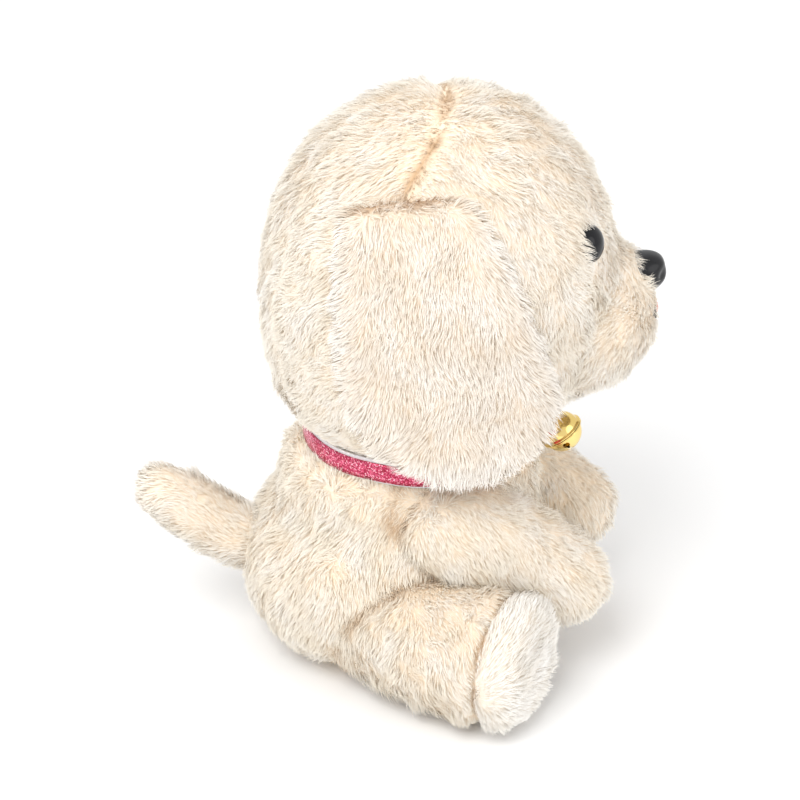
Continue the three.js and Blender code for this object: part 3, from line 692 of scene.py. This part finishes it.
def muzzle_distance(points):
    """Positive on the muzzle: how far its lobe reaches past the rest of the head, in millimetres."""
    directions = unit(points - HEAD["heart"])
    muzzle = reach_of_lobe(HEAD["heart"], *HEAD["lobes"][2], directions)
    rest = np.maximum(*(reach_of_lobe(HEAD["heart"], *lobe, directions) for lobe in HEAD["lobes"][:2]))
    return muzzle - rest


head_points, head_triangles = radial_surface(HEAD, 5)
head_points = neck_groove(head_points)
above_neck = head_points[:, 2] > NECK["z"] - 1
head_triangles = head_triangles[above_neck[head_triangles].all(1)]
head_middles = head_points[head_triangles].mean(1)


def place_by_ear(where):
    """Places on the head as an ear measures them: the share of its length, and millimetres across."""
    directions = unit(where - HEAD["heart"])
    polar = np.arccos(np.clip(directions[:, 2] / np.hypot(directions[:, 0], directions[:, 2]), -1, 1))
    s = (polar - EAR["root_angle"]) * EAR["reach"] / EAR["length"]
    return s, np.arcsin(directions[:, 1]) * EAR["reach"]


def under_ear(where):
    """About 1 where an ear lies over the head."""
    s, across = place_by_ear(where)
    half_width, middle = ear_outline(np.clip(s, 0, 1))
    inside = smoothstep(1.0, 0.8, np.abs(across - middle) / np.maximum(half_width, 1))
    return inside * smoothstep(0.02, 0.1, s) * smoothstep(1.05, 0.9, s)


def beside_ear(where):
    """1 on the head just outside an ear's edge, where the ear's painted shadow goes."""
    s, across = place_by_ear(where)
    half_width, middle = ear_outline(np.clip(s, 0, 0.85))
    past = np.abs(across - middle) - half_width
    return hump(past, 3.5) * smoothstep(-0.03, 0.06, s) * smoothstep(1.1, 0.9, s)


def gap_to(where, spot):
    return np.linalg.norm(where - spot, axis=1)


EYES = {side: head_front(sign * EYE["x"], EYE["z"]) for side, sign in SIDES.items()}
NOSE_SPOT = head_front(0, NOSE["z"])
NOSE_ROOT = NOSE_SPOT + np.array([0, 3.0, 3.0])
MOUTH_SPOT = head_front(0, MOUTH["z"])


def head_loft(points):
    """The pile packs higher above the nose, and not at all under the ears."""
    return 3.2 * hump(gap_to(points, NOSE_ROOT), 10) - LOFT * under_ear(points)


head_seams = [(off_middle, 0.7, 2.2), (crown_distance, 1.8, 2.2), (muzzle_distance, 1.0, 3.0)]
head_points, head_up = sewn(head_points, head_triangles, head_seams, head_loft)


def eye_clearance(where):
    """0 under the eyes and the nose, 1 away from them."""
    clear = smoothstep(6.0, 7.2, gap_to(where, NOSE_SPOT))
    for spot in EYES.values():
        clear = np.minimum(clear, smoothstep(EYE["radius"] - 1.2, EYE["radius"] - 0.4, gap_to(where, spot)))
    return clear


def ahead_of(where, spot):
    """1 on the muzzle's side of an eye, 0 behind it."""
    return smoothstep(1.5, -2.5, where[:, 1] - spot[1])


def in_front_of_eye(where):
    """1 beside an eye on the muzzle's side, where the pile is short."""
    near = [ahead_of(where, spot) * smoothstep(14, 7, gap_to(where, spot)) for spot in EYES.values()]
    return np.max(near, 0)


def head_keep(where):
    return eye_clearance(where) * (1 - (1 - HIDDEN) * under_ear(where))


def head_length(where):
    share = 0.4 + 0.6 * smoothstep(0.4, 4.5, np.abs(crown_distance(where)))
    share *= 0.85 + 0.15 * seam_parting(off_middle(where))
    share *= 0.7 + 0.3 * seam_parting(np.abs(muzzle_distance(where)))
    share *= 1 - 0.5 * in_front_of_eye(where)
    share *= 0.55 + 0.45 * smoothstep(2, 8, gap_to(where, MOUTH_SPOT))
    share *= 0.45 + 0.55 * smoothstep(NECK["high"], NECK["high"] + 12, where[:, 2])
    return share * (1 - 0.2 * under_ear(where))


def head_shade(where):
    # Painted shade along the crown seam and the middle seam, and a painted shadow on the head beside each
    # ear.
    seams = painted_crease_shade(crown_distance(where), 1.5, 0.8) + painted_crease_shade(where[:, 0], 1.2, 0.12)
    return seams - 0.3 * beside_ear(where)


def crown_parting(where):
    """The pile leans away from the seam over the crown, and lies along it within a hair of it."""
    distance = crown_distance(where)
    lean = np.sign(distance) * 0.9 * hump(distance, 4)
    along = 2.5 * hump(distance, 1.0)
    return lean[:, None] * np.array([0, 1.0, 0.1]) + along[:, None] * np.array([0, 0, -1.0])


def back_flow(where):
    sideways = np.sign(where[:, 0]) * 0.15
    flow = np.stack([sideways, np.full(len(where), 0.75), np.full(len(where), -0.6)], 1)
    return flow + crown_parting(where)


def face_flow(where):
    """Forwards and down over the brow and cheeks, lapping over the eyes from behind."""
    flow = np.stack([np.sign(where[:, 0]) * 0.3, np.full(len(where), -0.45), np.full(len(where), -0.9)], 1)
    for spot in EYES.values():
        ahead = ahead_of(where, spot)
        near = hump(gap_to(where, spot), 12)
        towards = unit(spot + np.array([0, -4.0, 0]) - where)
        flow += towards * (1.0 * near * (1 - ahead))[:, None] - towards * (1.2 * near * ahead)[:, None]
    return flow + crown_parting(where)


def muzzle_flow(where):
    """Back over the muzzle and down, but close up against the nose."""
    away = unit(where - NOSE_SPOT)
    round_nose = hump(gap_to(where, NOSE_SPOT), 11)
    flow = away * (0.8 - 1.9 * round_nose)[:, None] + np.array([0, 0.3, -0.4])
    return flow + np.array([0, -1.5, 0]) * round_nose[:, None]


def add_head():
    in_front = crown_distance(head_middles) < 0
    on_muzzle = muzzle_distance(head_middles) > 0
    kinds = [
        ("face", in_front & ~on_muzzle, "face_panel", face_flow, FACE),
        ("muzzle", in_front & on_muzzle, "muzzle_panel", muzzle_flow, MUZZLE),
        ("back_head", ~in_front, "back_head_panel", back_flow, SMOOTH),
    ]
    for number, (kind, chosen, node, flow, pile) in enumerate(kinds):
        for side, sign in SIDES.items():
            mine = chosen & (head_middles[:, 0] * sign > 0)
            cloth = head_points, head_triangles[mine], head_up
            make_panel(f"{kind}_{side}", "head", f"{node}_{side}", cloth, flow, pile, plush,
                       SEEDS["head"] + 2 * number + (sign > 0), head_length, head_keep, head_shade)


# ---------------------------------------------------------------- torso
LEG_AXES = []


def limb_gap(where):
    """Distance from places to the nearest leg or the tail, negative inside it."""
    gap = np.full(len(where), 99.0)
    for axis_points, radius in LEG_AXES:
        away = np.linalg.norm(where[:, None] - axis_points[None], axis=2).min(1) - radius
        gap = np.minimum(gap, away)
    return gap


def add_torso():
    points, triangles = radial_surface(TORSO, 5)
    points = neck_groove(points)
    points[:, 2] = np.maximum(points[:, 2], 0)
    triangles = triangles[(points[triangles][:, :, 2] < NECK["z"] + 1).all(1)]
    back_seam = lambda where: off_middle(where) + 50 * (where[:, 1] < 0)
    seat_seam = lambda where: np.abs(where[:, 2] - SEAT_SEAM)
    points, up = sewn(points, triangles, [(back_seam, 0.9, 2.2), (seat_seam, 0.8, 2.0)])
    middles = points[triangles].mean(1)
    low = middles[:, 2] < SEAT_SEAM
    wide_enough = np.where(middles[:, 2] < BELLY["top"], BELLY["low_half_width"], BELLY["high_half_width"])
    belly = ~low & (middles[:, 1] < 0) & (off_middle(middles) < wide_enough)

    def keep(where):
        shown = (limb_gap(where) > -4).astype(float)
        on_floor = smoothstep(0.2, 2.5, where[:, 2])
        return shown * (0.12 + 0.88 * on_floor)

    def length(where):
        share = 0.9 + 0.1 * smoothstep(NECK["z"], NECK["low"] - 2, where[:, 2])
        share *= 0.25 + 0.75 * smoothstep(0, 10, where[:, 2])
        share *= 0.45 + 0.55 * smoothstep(-1, 5, limb_gap(where))
        return share * (0.85 + 0.15 * seam_parting(off_middle(where)))

    def shade(where):
        # Painted shade in the folds beside the legs and the tail and along the back seam, and the body's
        # duller tone.
        folds = painted_crease_shade(limb_gap(where), 2.2, 0.35) + painted_crease_shade(off_middle(where), 1.2, 0.1)
        return folds - BODY_DULLNESS

    def flow(where):
        backwards = 0.45 * smoothstep(-10, 30, where[:, 1]) - 0.1
        downwards = -1 + 1.9 * smoothstep(NECK["low"] - 9, NECK["low"], where[:, 2])
        return np.stack([0.12 * np.sign(where[:, 0]), backwards, downwards], 1)

    panels = [("seat", low, "seat_panel", 0.5), ("belly", belly, "belly_panel", 0.9)]
    for side, sign in SIDES.items():
        mine = ~low & ~belly & (middles[:, 0] * sign > 0)
        panels.append((f"torso_{side}", mine, f"torso_panel_{side}", 1.05))
    for number, (name, chosen, node, cover) in enumerate(panels):
        make_panel(name, "torso", node, (points, triangles[chosen], up), flow, LONG, plush,
                   SEEDS["torso"] + number, length, keep, shade, cover)


# ---------------------------------------------------------------- legs and tail
def keep_outside_torso(where):
    return (height_over(TORSO, where) > -3).astype(float)


def torso_crease(where):
    """Painted shade: a limb's hairs darken where they go in under the torso's pile, and take the body's
    duller tone.
    """
    return painted_crease_shade(np.minimum(height_over(TORSO, where) - 1, 20), 3.0, 0.35) - BODY_DULLNESS


def axis_field(path, share):
    """Direction along the limb at each place, from the nearest point of its path."""
    curve = Path(path)
    samples = curve.at(np.linspace(0, 1, 40))
    tangents = curve.tangent(np.linspace(0, 1, 40))

    def along(where):
        nearest = np.linalg.norm(where[:, None] - samples[None], axis=2).argmin(1)
        return tangents[nearest] * share

    return along


def foreleg_path(side, sign):
    x, y, z = FORELEG["shoulder"]
    pitch, length = FORELEG_POSE[side]["pitch"], FORELEG_POSE[side]["length"]
    distances = [-FORELEG["radius"], length * 0.3, length * 0.7, length + FORELEG["radius"]]
    return [(sign * (x - FORELEG["inward"] * d), y - d * math.cos(pitch), z - d * math.sin(pitch))
            for d in distances]


def add_foreleg(side, sign):
    path = foreleg_path(side, sign)
    radius = lambda share: FORELEG["radius"] * (1 + 0.07 * share**2 + 0.3 * smoothstep(0.8, 0.15, share))
    points, triangles = limb_surface(path, radius, 3.2, 4)
    split = sign * (FORELEG["shoulder"][0] - 1.5)
    seam = lambda where: np.abs(where[:, 0] - split)
    points, up = sewn(points, triangles, [(seam, 0.5, 2.0)])
    outer = (points[triangles].mean(1)[:, 0] - split) * sign > 0
    along = axis_field(path, 0.7)
    flow = lambda where: along(where) + np.array([0, 0, -0.7])
    length = lambda where: 0.9 * (0.75 + 0.25 * seam_parting(seam(where)))
    for number, (kind, chosen, cover) in enumerate([("outer", outer, 1.05), ("inner", ~outer, 0.8)]):
        name = f"foreleg_{side}_{kind}"
        make_panel(name, f"foreleg_{side}", f"{name}_panel", (points, triangles[chosen], up), flow,
                   LONG, plush, SEEDS["foreleg"] + 4 * number + (sign > 0), length, keep_outside_torso,
                   torso_crease, cover)


def add_hindleg(side, sign):
    path = [(sign * x, y, z) for x, y, z in HINDLEG_PATH]
    radius = lambda share: HINDLEG_RADIUS * (0.9 + 0.1 * share)
    points, triangles = limb_surface(path, radius, 7, 5)
    points[:, 2] = np.maximum(points[:, 2], 0.3)
    up = normals_of(points, triangles)
    level = lambda x, y: np.array([sign * x, y, 0.0])
    ahead, across = unit(level(*FOOT["faces"])), unit(level(*FOOT["split"]))
    end_x, end_y, end_z = HINDLEG_PATH[3]
    sole_at = level(end_x - FOOT["wrap"][0], end_y + FOOT["wrap"][1])
    split_at = level(*HINDLEG_PATH[1][:2])
    sole_gap = lambda where: (where - sole_at) @ ahead
    side_gap = lambda where: (where - split_at) @ across
    points = pinch(lofted(points, up), up, sole_gap(points), 2.6, 2.0)
    up = normals_of(points, triangles)
    middles = points[triangles].mean(1)
    on_sole = sole_gap(middles) > 0
    outer = side_gap(middles) > 0
    along = axis_field(path, 0.55)
    flow = lambda where: along(where) + np.array([0, 0.1, -0.75])
    whorl = sole_at + level(*FOOT["whorl"]) + np.array([0, 0, end_z])

    def sole_flow(where):
        return unit(where - whorl)

    def length(where):
        share = 0.4 + 0.6 * smoothstep(0, 4, np.abs(sole_gap(where)))
        return share * (0.2 + 0.8 * smoothstep(0, 10, where[:, 2]))

    def shade(where):
        # Painted shade where the leg goes in under the torso and along the sole's seam.
        return torso_crease(where) + painted_crease_shade(sole_gap(where), 1.2, 0.5)

    def keep(where):
        return keep_outside_torso(where) * (0.15 + 0.85 * smoothstep(0.4, 3, where[:, 2]))

    panels = [("outer", ~on_sole & outer, "outer_panel", flow, LONG, plush, "plush", 1.05),
              ("inner", ~on_sole & ~outer, "inner_panel", flow, LONG, plush, "plush", 0.85),
              ("foot", on_sole, "sole", sole_flow, SOLE, sole_plush, "sole_plush", 1.0)]
    for number, (kind, chosen, node, way, pile, material, slot, cover) in enumerate(panels):
        make_panel(f"hindleg_{side}_{kind}", f"hindleg_{side}", f"hindleg_{side}_{node}",
                   (points, triangles[chosen], up), way, pile, material,
                   SEEDS["hindleg"] + 4 * number + (sign > 0), length, keep, shade, cover)


def add_tail():
    radius = lambda share: TAIL_RADIUS * (1.08 - 0.2 * share)
    points, triangles = limb_surface(TAIL_PATH, radius, 3.2, 4)
    up = normals_of(points, triangles)
    points = lofted(points, up)
    middles = points[triangles].mean(1)
    along = axis_field(TAIL_PATH, 1.0)
    flow = lambda where: along(where) + np.array([0, 0, -0.15])
    for number, (side, sign) in enumerate(SIDES.items()):
        cloth = points, triangles[middles[:, 0] * sign > 0], up
        make_panel(f"tail_{side}", "tail", f"tail_panel_{side}", cloth, flow, LONG, plush,
                   SEEDS["tail"] + number, keep_at=keep_outside_torso, cover=1.1)


# ---------------------------------------------------------------- ears
def add_ears():
    points, triangles, places = ear_surface()
    for side, sign in SIDES.items():
        mine = points * np.array([-sign, 1, 1])
        faces = triangles if sign < 0 else triangles[:, ::-1]
        up = normals_of(mine, faces)
        half = len(points) // 2
        if dot(up[:half], mine[:half] - HEAD["heart"]).mean() < 0:
            faces = faces[:, ::-1]
            up = -up
        on_outer = (faces < half).sum(1) >= 2
        tree = kdtree.KDTree(half)
        for i in range(half):
            tree.insert(mine[i], i)
        tree.balance()

        def place_of(where):
            return places[[tree.find(p)[1] for p in where]]

        def edge_of(where):
            """0 at the rim, 1 well inside."""
            s, across, _ = place_of(where).T
            return np.minimum.reduce([(1 - np.abs(across)) / 0.22, (1 - s) / 0.16, np.ones(len(s))])

        def flow(where):
            s, across, _ = place_of(where).T
            outward = 1.6 * across * smoothstep(0.45, 1, np.abs(across))
            lifted = np.where(s < 0.05, 0.9, 0)
            return np.stack([np.zeros(len(s)), outward, -1 + lifted], 1)

        def shade(where):
            # Paler towards the rim and a little darker overall, with painted shade along the seam at the
            # ear's root.
            s, _, _ = place_of(where).T
            return 0.5 * (1 - smoothstep(0, 1, edge_of(where))) - 0.09 + painted_crease_shade(s, 0.025, 0.6)

        def length(where):
            return 1.0 + 0.25 * (1 - smoothstep(0, 1, edge_of(where)))

        body = f"ear_{side}"
        for kind, chosen, pile, slot in (("outer", on_outer, EAR_OUTER, "ear_plush"),
                                         ("lining", ~on_outer, EAR_LINING, "ear_lining")):
            cloth = mine, faces[chosen], up
            piece = make_panel(f"ear_{side}_{kind}", body, f"ear_{kind}_{side}", cloth, flow, pile,
                               ear_plush, SEEDS["ear"] + 2 * (kind == "outer") + (sign > 0),
                               length, tone_and_painted_shade_at=shade)
            piece.parent = None
            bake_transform(piece)


# ---------------------------------------------------------------- hard parts
def mesh_from(name, points, faces, material):
    mesh = bpy.data.meshes.new(name)
    mesh.from_pydata([tuple(p) for p in np.array(points) * MM], [], [list(map(int, f)) for f in faces])
    mesh.polygons.foreach_set("use_smooth", np.ones(len(mesh.polygons), bool))
    mesh.materials.append(material)
    return add_object(name, mesh)


def turning_to(direction):
    """Rotation that carries +Z onto a direction."""
    return np.array(Vector((0, 0, 1)).rotation_difference(Vector(direction)).to_matrix())


def round_angles(count):
    return np.linspace(0, 2 * np.pi, count, endpoint=False)


def ring_faces(rows, sides, closed=False):
    """Faces between rings of points. A closed shape also joins its last ring to its first."""
    faces = []
    for row in range(rows if closed else rows - 1):
        following = (row + 1) % rows
        for i in range(sides):
            j = (i + 1) % sides
            faces.append([row * sides + i, row * sides + j, following * sides + j, following * sides + i])
    return faces


def lathe(profile, sides, closed=False):
    """Points and faces of a turned outline of (radius, height) about Z."""
    points = [(r * math.cos(a), r * math.sin(a), z) for r, z in profile for a in round_angles(sides)]
    return np.array(points), ring_faces(len(profile), sides, closed)


def welded(piece):
    """Merges the points that a turned outline leaves on its axis and closes the shape."""
    shape = bmesh.new()
    shape.from_mesh(piece.data)
    bmesh.ops.remove_doubles(shape, verts=shape.verts, dist=1e-6)
    bmesh.ops.recalc_face_normals(shape, faces=shape.faces)
    shape.to_mesh(piece.data)
    shape.free()
    return piece


def ring_points(radius, wire, sides, around):
    """A torus about Z."""
    profile = [(radius + wire * math.cos(a), wire * math.sin(a)) for a in round_angles(around)]
    return lathe(profile, sides, closed=True)


def add_eyes():
    """A polished dome with a thin flange, its shank hidden in the head."""
    for side in SIDES:
        spot = EYES[side]
        normal = head_normal(spot)
        dome = [(EYE["radius"] * math.sin(a), EYE["seat"] + EYE["dome"] * math.cos(a))
                for a in np.linspace(0, np.pi / 2, 18)]
        flange = EYE["radius"] + 0.25
        back = EYE["seat"] - 0.5
        shank, shank_end = EYE["shank"], -EYE["shank_length"]
        flange_outline = [(flange, EYE["seat"] - 0.1), (flange, back), (shank, back)]
        profile = dome + flange_outline + [(shank, shank_end), (0, shank_end)]
        points, faces = lathe(profile, 64)
        points = points @ turning_to(normal).T + spot
        piece = welded(mesh_from(f"eye_button_{side}", points, faces, black_plastic))
        finish_piece(piece, "head", f"eye_{side}")


def add_nose():
    """A soft-cornered button, broad above and narrow below, with two shallow nostrils."""
    ball, triangles = ico_sphere(5)
    x, y, z = ball.T
    square = lambda v: np.sign(v) * np.abs(v) ** 0.82
    upper = z > 0
    width = NOSE["half_width"] * np.where(upper, 1, 1 + 0.42 * z)
    height = NOSE["half_height"] * np.where(upper, 0.86, 1)
    depth = NOSE["depth"] * np.where(y < 0, 1, 0.25)
    points = np.stack([width * square(x), depth * y * (1 + 0.12 * np.maximum(z, 0)), height * square(z)], 1)
    for sign in SIDES.values():
        away = gap_to(points, np.array([sign * 3.6, -NOSE["depth"] * 0.82, -1.2]))
        points[:, 1] += 1.1 * hump(away, 1.7)
    cos, sin = math.cos(NOSE["tilt"]), math.sin(NOSE["tilt"])
    tilt = np.array([[1, 0, 0], [0, cos, sin], [0, -sin, cos]])
    points = points @ tilt.T + NOSE_SPOT
    finish_piece(mesh_from("nose_button", points, triangles, nose_plastic), "head", "nose")


def on_muzzle(x, z, lift):
    """A point over the front of the head at x and z."""
    point = head_front(x, z)
    return point + head_normal(point) * lift


def add_mouth():
    """Two strands of thread twisted together, and the tip of a felt tongue."""
    steps = 60
    xs = np.linspace(-1, 1, steps) * MOUTH["half_width"]
    share = np.abs(xs / MOUTH["half_width"])
    heights = MOUTH["z"] - MOUTH["drop"] * share**1.5
    lifts = LOFT - 0.4 + 1.2 * share**3
    line = np.array([on_muzzle(x, z, lift) for x, z, lift in zip(xs, heights, lifts)])
    tangent = unit(np.gradient(line, axis=0))
    side = unit(np.cross(tangent, [0, 1, 0]))
    front = np.cross(side, tangent)
    points, faces, around = [], [], 10
    for strand in (0, np.pi):
        start = len(points) * around
        for i in range(steps):
            turn = i * MOUTH["twist"] + strand
            centre = line[i] + MOUTH["strand"] * (side[i] * math.cos(turn) + front[i] * math.sin(turn))
            points.append([centre + MOUTH["thread"] * (side[i] * math.cos(a) + front[i] * math.sin(a))
                           for a in round_angles(around)])
        faces += [[start + corner for corner in face] for face in ring_faces(steps, around)]
        faces.append([start + j for j in range(around)])
        faces.append([start + (steps - 1) * around + j for j in range(around - 1, -1, -1)])
    piece = mesh_from("mouth_stitch", np.array(points).reshape(-1, 3), faces, black_thread)
    finish_piece(piece, "head", "mouth_thread")

    ball, triangles = ico_sphere(4)
    centre = on_muzzle(0, MOUTH["z"] - TONGUE["drop"], LOFT + 0.3)
    turn = turning_to(head_normal(centre))
    points = (ball * np.array(TONGUE["radii"])) @ turn.T + centre
    finish_piece(mesh_from("tongue_tip", points, triangles, tongue_felt), "head", "tongue")


def add_ribbon(name, inner, thickness, width, material, node):
    """A ribbon round the neck, its edges waving a little where the pile pushes them."""
    angles = round_angles(240)
    wave = 0.5 * np.sin(5 * angles + 0.6) + 0.35 * np.sin(9 * angles + 2.1)
    heights = (-0.5, -0.25, 0, 0.25, 0.5)
    rows = [(0, height) for height in heights] + [(1, height) for height in reversed(heights)]
    points = []
    for layer, height in rows:
        bow = 0.35 * (0.25 - height * height)
        radius = inner + thickness * layer + bow + 0.25 * wave * (1 + height)
        points.append(np.stack([radius * np.cos(angles), NECK["y"] + radius * np.sin(angles),
                                NECK["z"] + height * width + 0.45 * wave], 1))
    faces = ring_faces(len(rows), len(angles), closed=True)
    piece = welded(mesh_from(name, np.vstack(points), faces, material))
    finish_piece(piece, "torso", node)


def add_collar():
    for (name, inner, thickness, width, slot, node), material in zip(RIBBONS, (white_ribbon, glitter)):
        add_ribbon(name, inner, thickness, width, material, node)


def boolean_cut(piece, cutter):
    """Cuts one mesh out of another and applies it."""
    modifier = piece.modifiers.new("cut", "BOOLEAN")
    modifier.object = cutter
    modifier.operation = "DIFFERENCE"
    modifier.solver = "EXACT"
    cut = bpy.data.meshes.new_from_object(piece.evaluated_get(bpy.context.evaluated_depsgraph_get()))
    piece.modifiers.clear()
    piece.data = cut
    bpy.data.objects.remove(cutter)


def add_bell():
    front = np.array([0, HANGER["y"] - HANGER["radius"], HANGER["z"]], float)
    lean = np.array([0, -math.sin(BELL_LEAN), -math.cos(BELL_LEAN)])
    centre = front + lean * BELL_ARM
    turn = turning_to(-lean)

    points, faces = ring_points(HANGER["radius"], HANGER["wire"], 48, 14)
    hanger = mesh_from("bell_loop", points + np.array([0, HANGER["y"], HANGER["z"]]), faces, gold)
    finish_piece(hanger, "hanger", "bell_hanger")

    r, wall, lip, rim = BELL["radius"], BELL["wall"], BELL["lip"], BELL["rim"]
    gap = 0.06  # from each shell to the plane between them
    edge = math.asin((rim + gap + 0.25) / r)
    outside = [(r * math.cos(a), r * math.sin(a)) for a in np.linspace(edge, np.pi / 2, 30)]
    inner = r - wall
    inside = [(inner * math.cos(a), max(inner * math.sin(a), gap)) for a in np.linspace(0, np.pi / 2, 24)]
    rolled = [(r + lip - 0.15, gap), (r + lip, gap + 0.15), (r + lip, rim - 0.15), (r + lip - 0.2, rim)]
    profile = inside[::-1] + rolled + outside
    for name, node, flip in (("bell_top", "bell_upper_shell", 1), ("bell_bottom", "bell_lower_shell", -1)):
        points, faces = lathe(profile, 96)
        points[:, 2] *= flip
        shell = welded(mesh_from(name, points, faces, gold))
        if flip > 0:
            eyelet, eyelet_faces = ring_points(BELL["eyelet"], BELL["eyelet_wire"], 40, 14)
            eyelet = eyelet[:, [2, 0, 1]] + np.array([0, 0, BELL_ARM])
            extra = mesh_from("eyelet", eyelet, eyelet_faces, gold)
            shape = bmesh.new()
            shape.from_mesh(shell.data)
            shape.from_mesh(extra.data)
            shape.to_mesh(shell.data)
            shape.free()
            bpy.data.objects.remove(extra)
        else:
            half_slot = BELL["slot"] / 2
            box = [(x, y, z) for x in (-20, 20) for y in (-half_slot, half_slot)
                   for z in (-20, -BELL["hole_drop"])]
            box_faces = [[0, 1, 3, 2], [4, 6, 7, 5], [0, 4, 5, 1], [2, 3, 7, 6], [0, 2, 6, 4], [1, 5, 7, 3]]
            boolean_cut(shell, welded(mesh_from("slot_cutter", box, box_faces, gold)))
            tube, tube_faces = lathe([(0, -20), (BELL["hole"], -20), (BELL["hole"], 20), (0, 20)], 32)
            tube = tube[:, [2, 1, 0]] - np.array([0, 0, BELL["hole_drop"]])
            boolean_cut(shell, welded(mesh_from("hole_cutter", tube, tube_faces, gold)))
        points = np.array([v.co for v in shell.data.vertices]) / MM
        points = points @ turn.T + centre
        shell.data.vertices.foreach_set("co", (points * MM).astype(np.float32).ravel())
        shell.data.update()
        shell.data.shade_smooth()
        shell.data.set_sharp_from_angle(angle=math.radians(35))
        finish_piece(shell, "bell", node)


def dress_cad_nodes():
    """Materials for the CAD parts that stay: washers, stuffing and the clapper."""
    looks = {"washer": washer_plastic, "stuffing": stuffing, "bell_clapper": gold}
    for name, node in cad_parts.items():
        for word, material in looks.items():
            if word in name:
                node.data.materials.clear()
                node.data.materials.append(material)


# ---------------------------------------------------------------- stage, light and camera
def add_stage():
    size = 6
    corners = [(-size, -size, 0), (size, -size, 0), (size, size, 0), (-size, size, 0)]
    mesh = bpy.data.meshes.new("floor")
    mesh.from_pydata(corners, [], [[0, 1, 2, 3]])
    floor = add_object("floor", mesh)
    material, _, _, shader = new_material("floor")
    set_values(shader, {"Base Color": (0.92, 0.92, 0.92, 1), "Roughness": 0.9, "Specular IOR Level": 0.1})
    mesh.materials.append(material)


def add_light(name, place, aim, size, power):
    data = bpy.data.lights.new(name, "AREA")
    data.shape = "DISK"
    data.size = size
    data.energy = power
    lamp = bpy.data.objects.new(name, data)
    lamp.location = place
    lamp.rotation_euler = (Vector(aim) - Vector(place)).to_track_quat("-Z", "Y").to_euler()
    bpy.context.scene.collection.objects.link(lamp)


def add_lights():
    middle = (0, 0.01, 0.1)
    add_light("key", (-0.9, 0.5, 1.3), middle, 1.0, 15)
    add_light("fill", (-0.8, -1.1, 0.7), middle, 1.2, 4)
    world = bpy.data.worlds.new("studio")
    world.use_nodes = True
    set_values(world.node_tree.nodes["Background"], {"Color": (1, 1, 1, 1), "Strength": 0.93})
    bpy.context.scene.world = world
    bpy.context.scene.view_settings.view_transform = "Standard"


def add_camera():
    """Level with the puppy's right side, 28 degrees above it."""
    elevation = math.radians(28)
    distance = 0.8
    target = Vector((0, 0.0099, 0.0886))
    data = bpy.data.cameras.new("camera")
    data.sensor_width = 36
    data.lens = 109.1
    data.clip_start = 0.01
    camera = bpy.data.objects.new("camera", data)
    towards = Vector((-math.cos(elevation), 0, math.sin(elevation)))
    camera.location = target + towards * distance
    camera.rotation_euler = (-towards).to_track_quat("-Z", "Y").to_euler()
    bpy.context.scene.collection.objects.link(camera)
    bpy.context.scene.camera = camera


def note_legs():
    """Where the legs and the tail run, for the pile that they cover."""
    samples = np.linspace(0, 1, 12)
    for side, sign in SIDES.items():
        LEG_AXES.append((Path(foreleg_path(side, sign)).at(samples)[1:-1], FORELEG["radius"]))
        path = [(sign * x, y, z) for x, y, z in HINDLEG_PATH]
        LEG_AXES.append((Path(path).at(samples)[1:-1], HINDLEG_RADIUS))
    LEG_AXES.append((Path(TAIL_PATH).at(samples)[1:-1], TAIL_RADIUS))


note_legs()
add_camera()
add_lights()
add_stage()
add_head()
add_torso()
for side_name, side_sign in SIDES.items():
    add_foreleg(side_name, side_sign)
    add_hindleg(side_name, side_sign)
add_tail()
add_ears()
add_eyes()
add_nose()
add_mouth()
add_collar()
add_bell()
dress_cad_nodes()
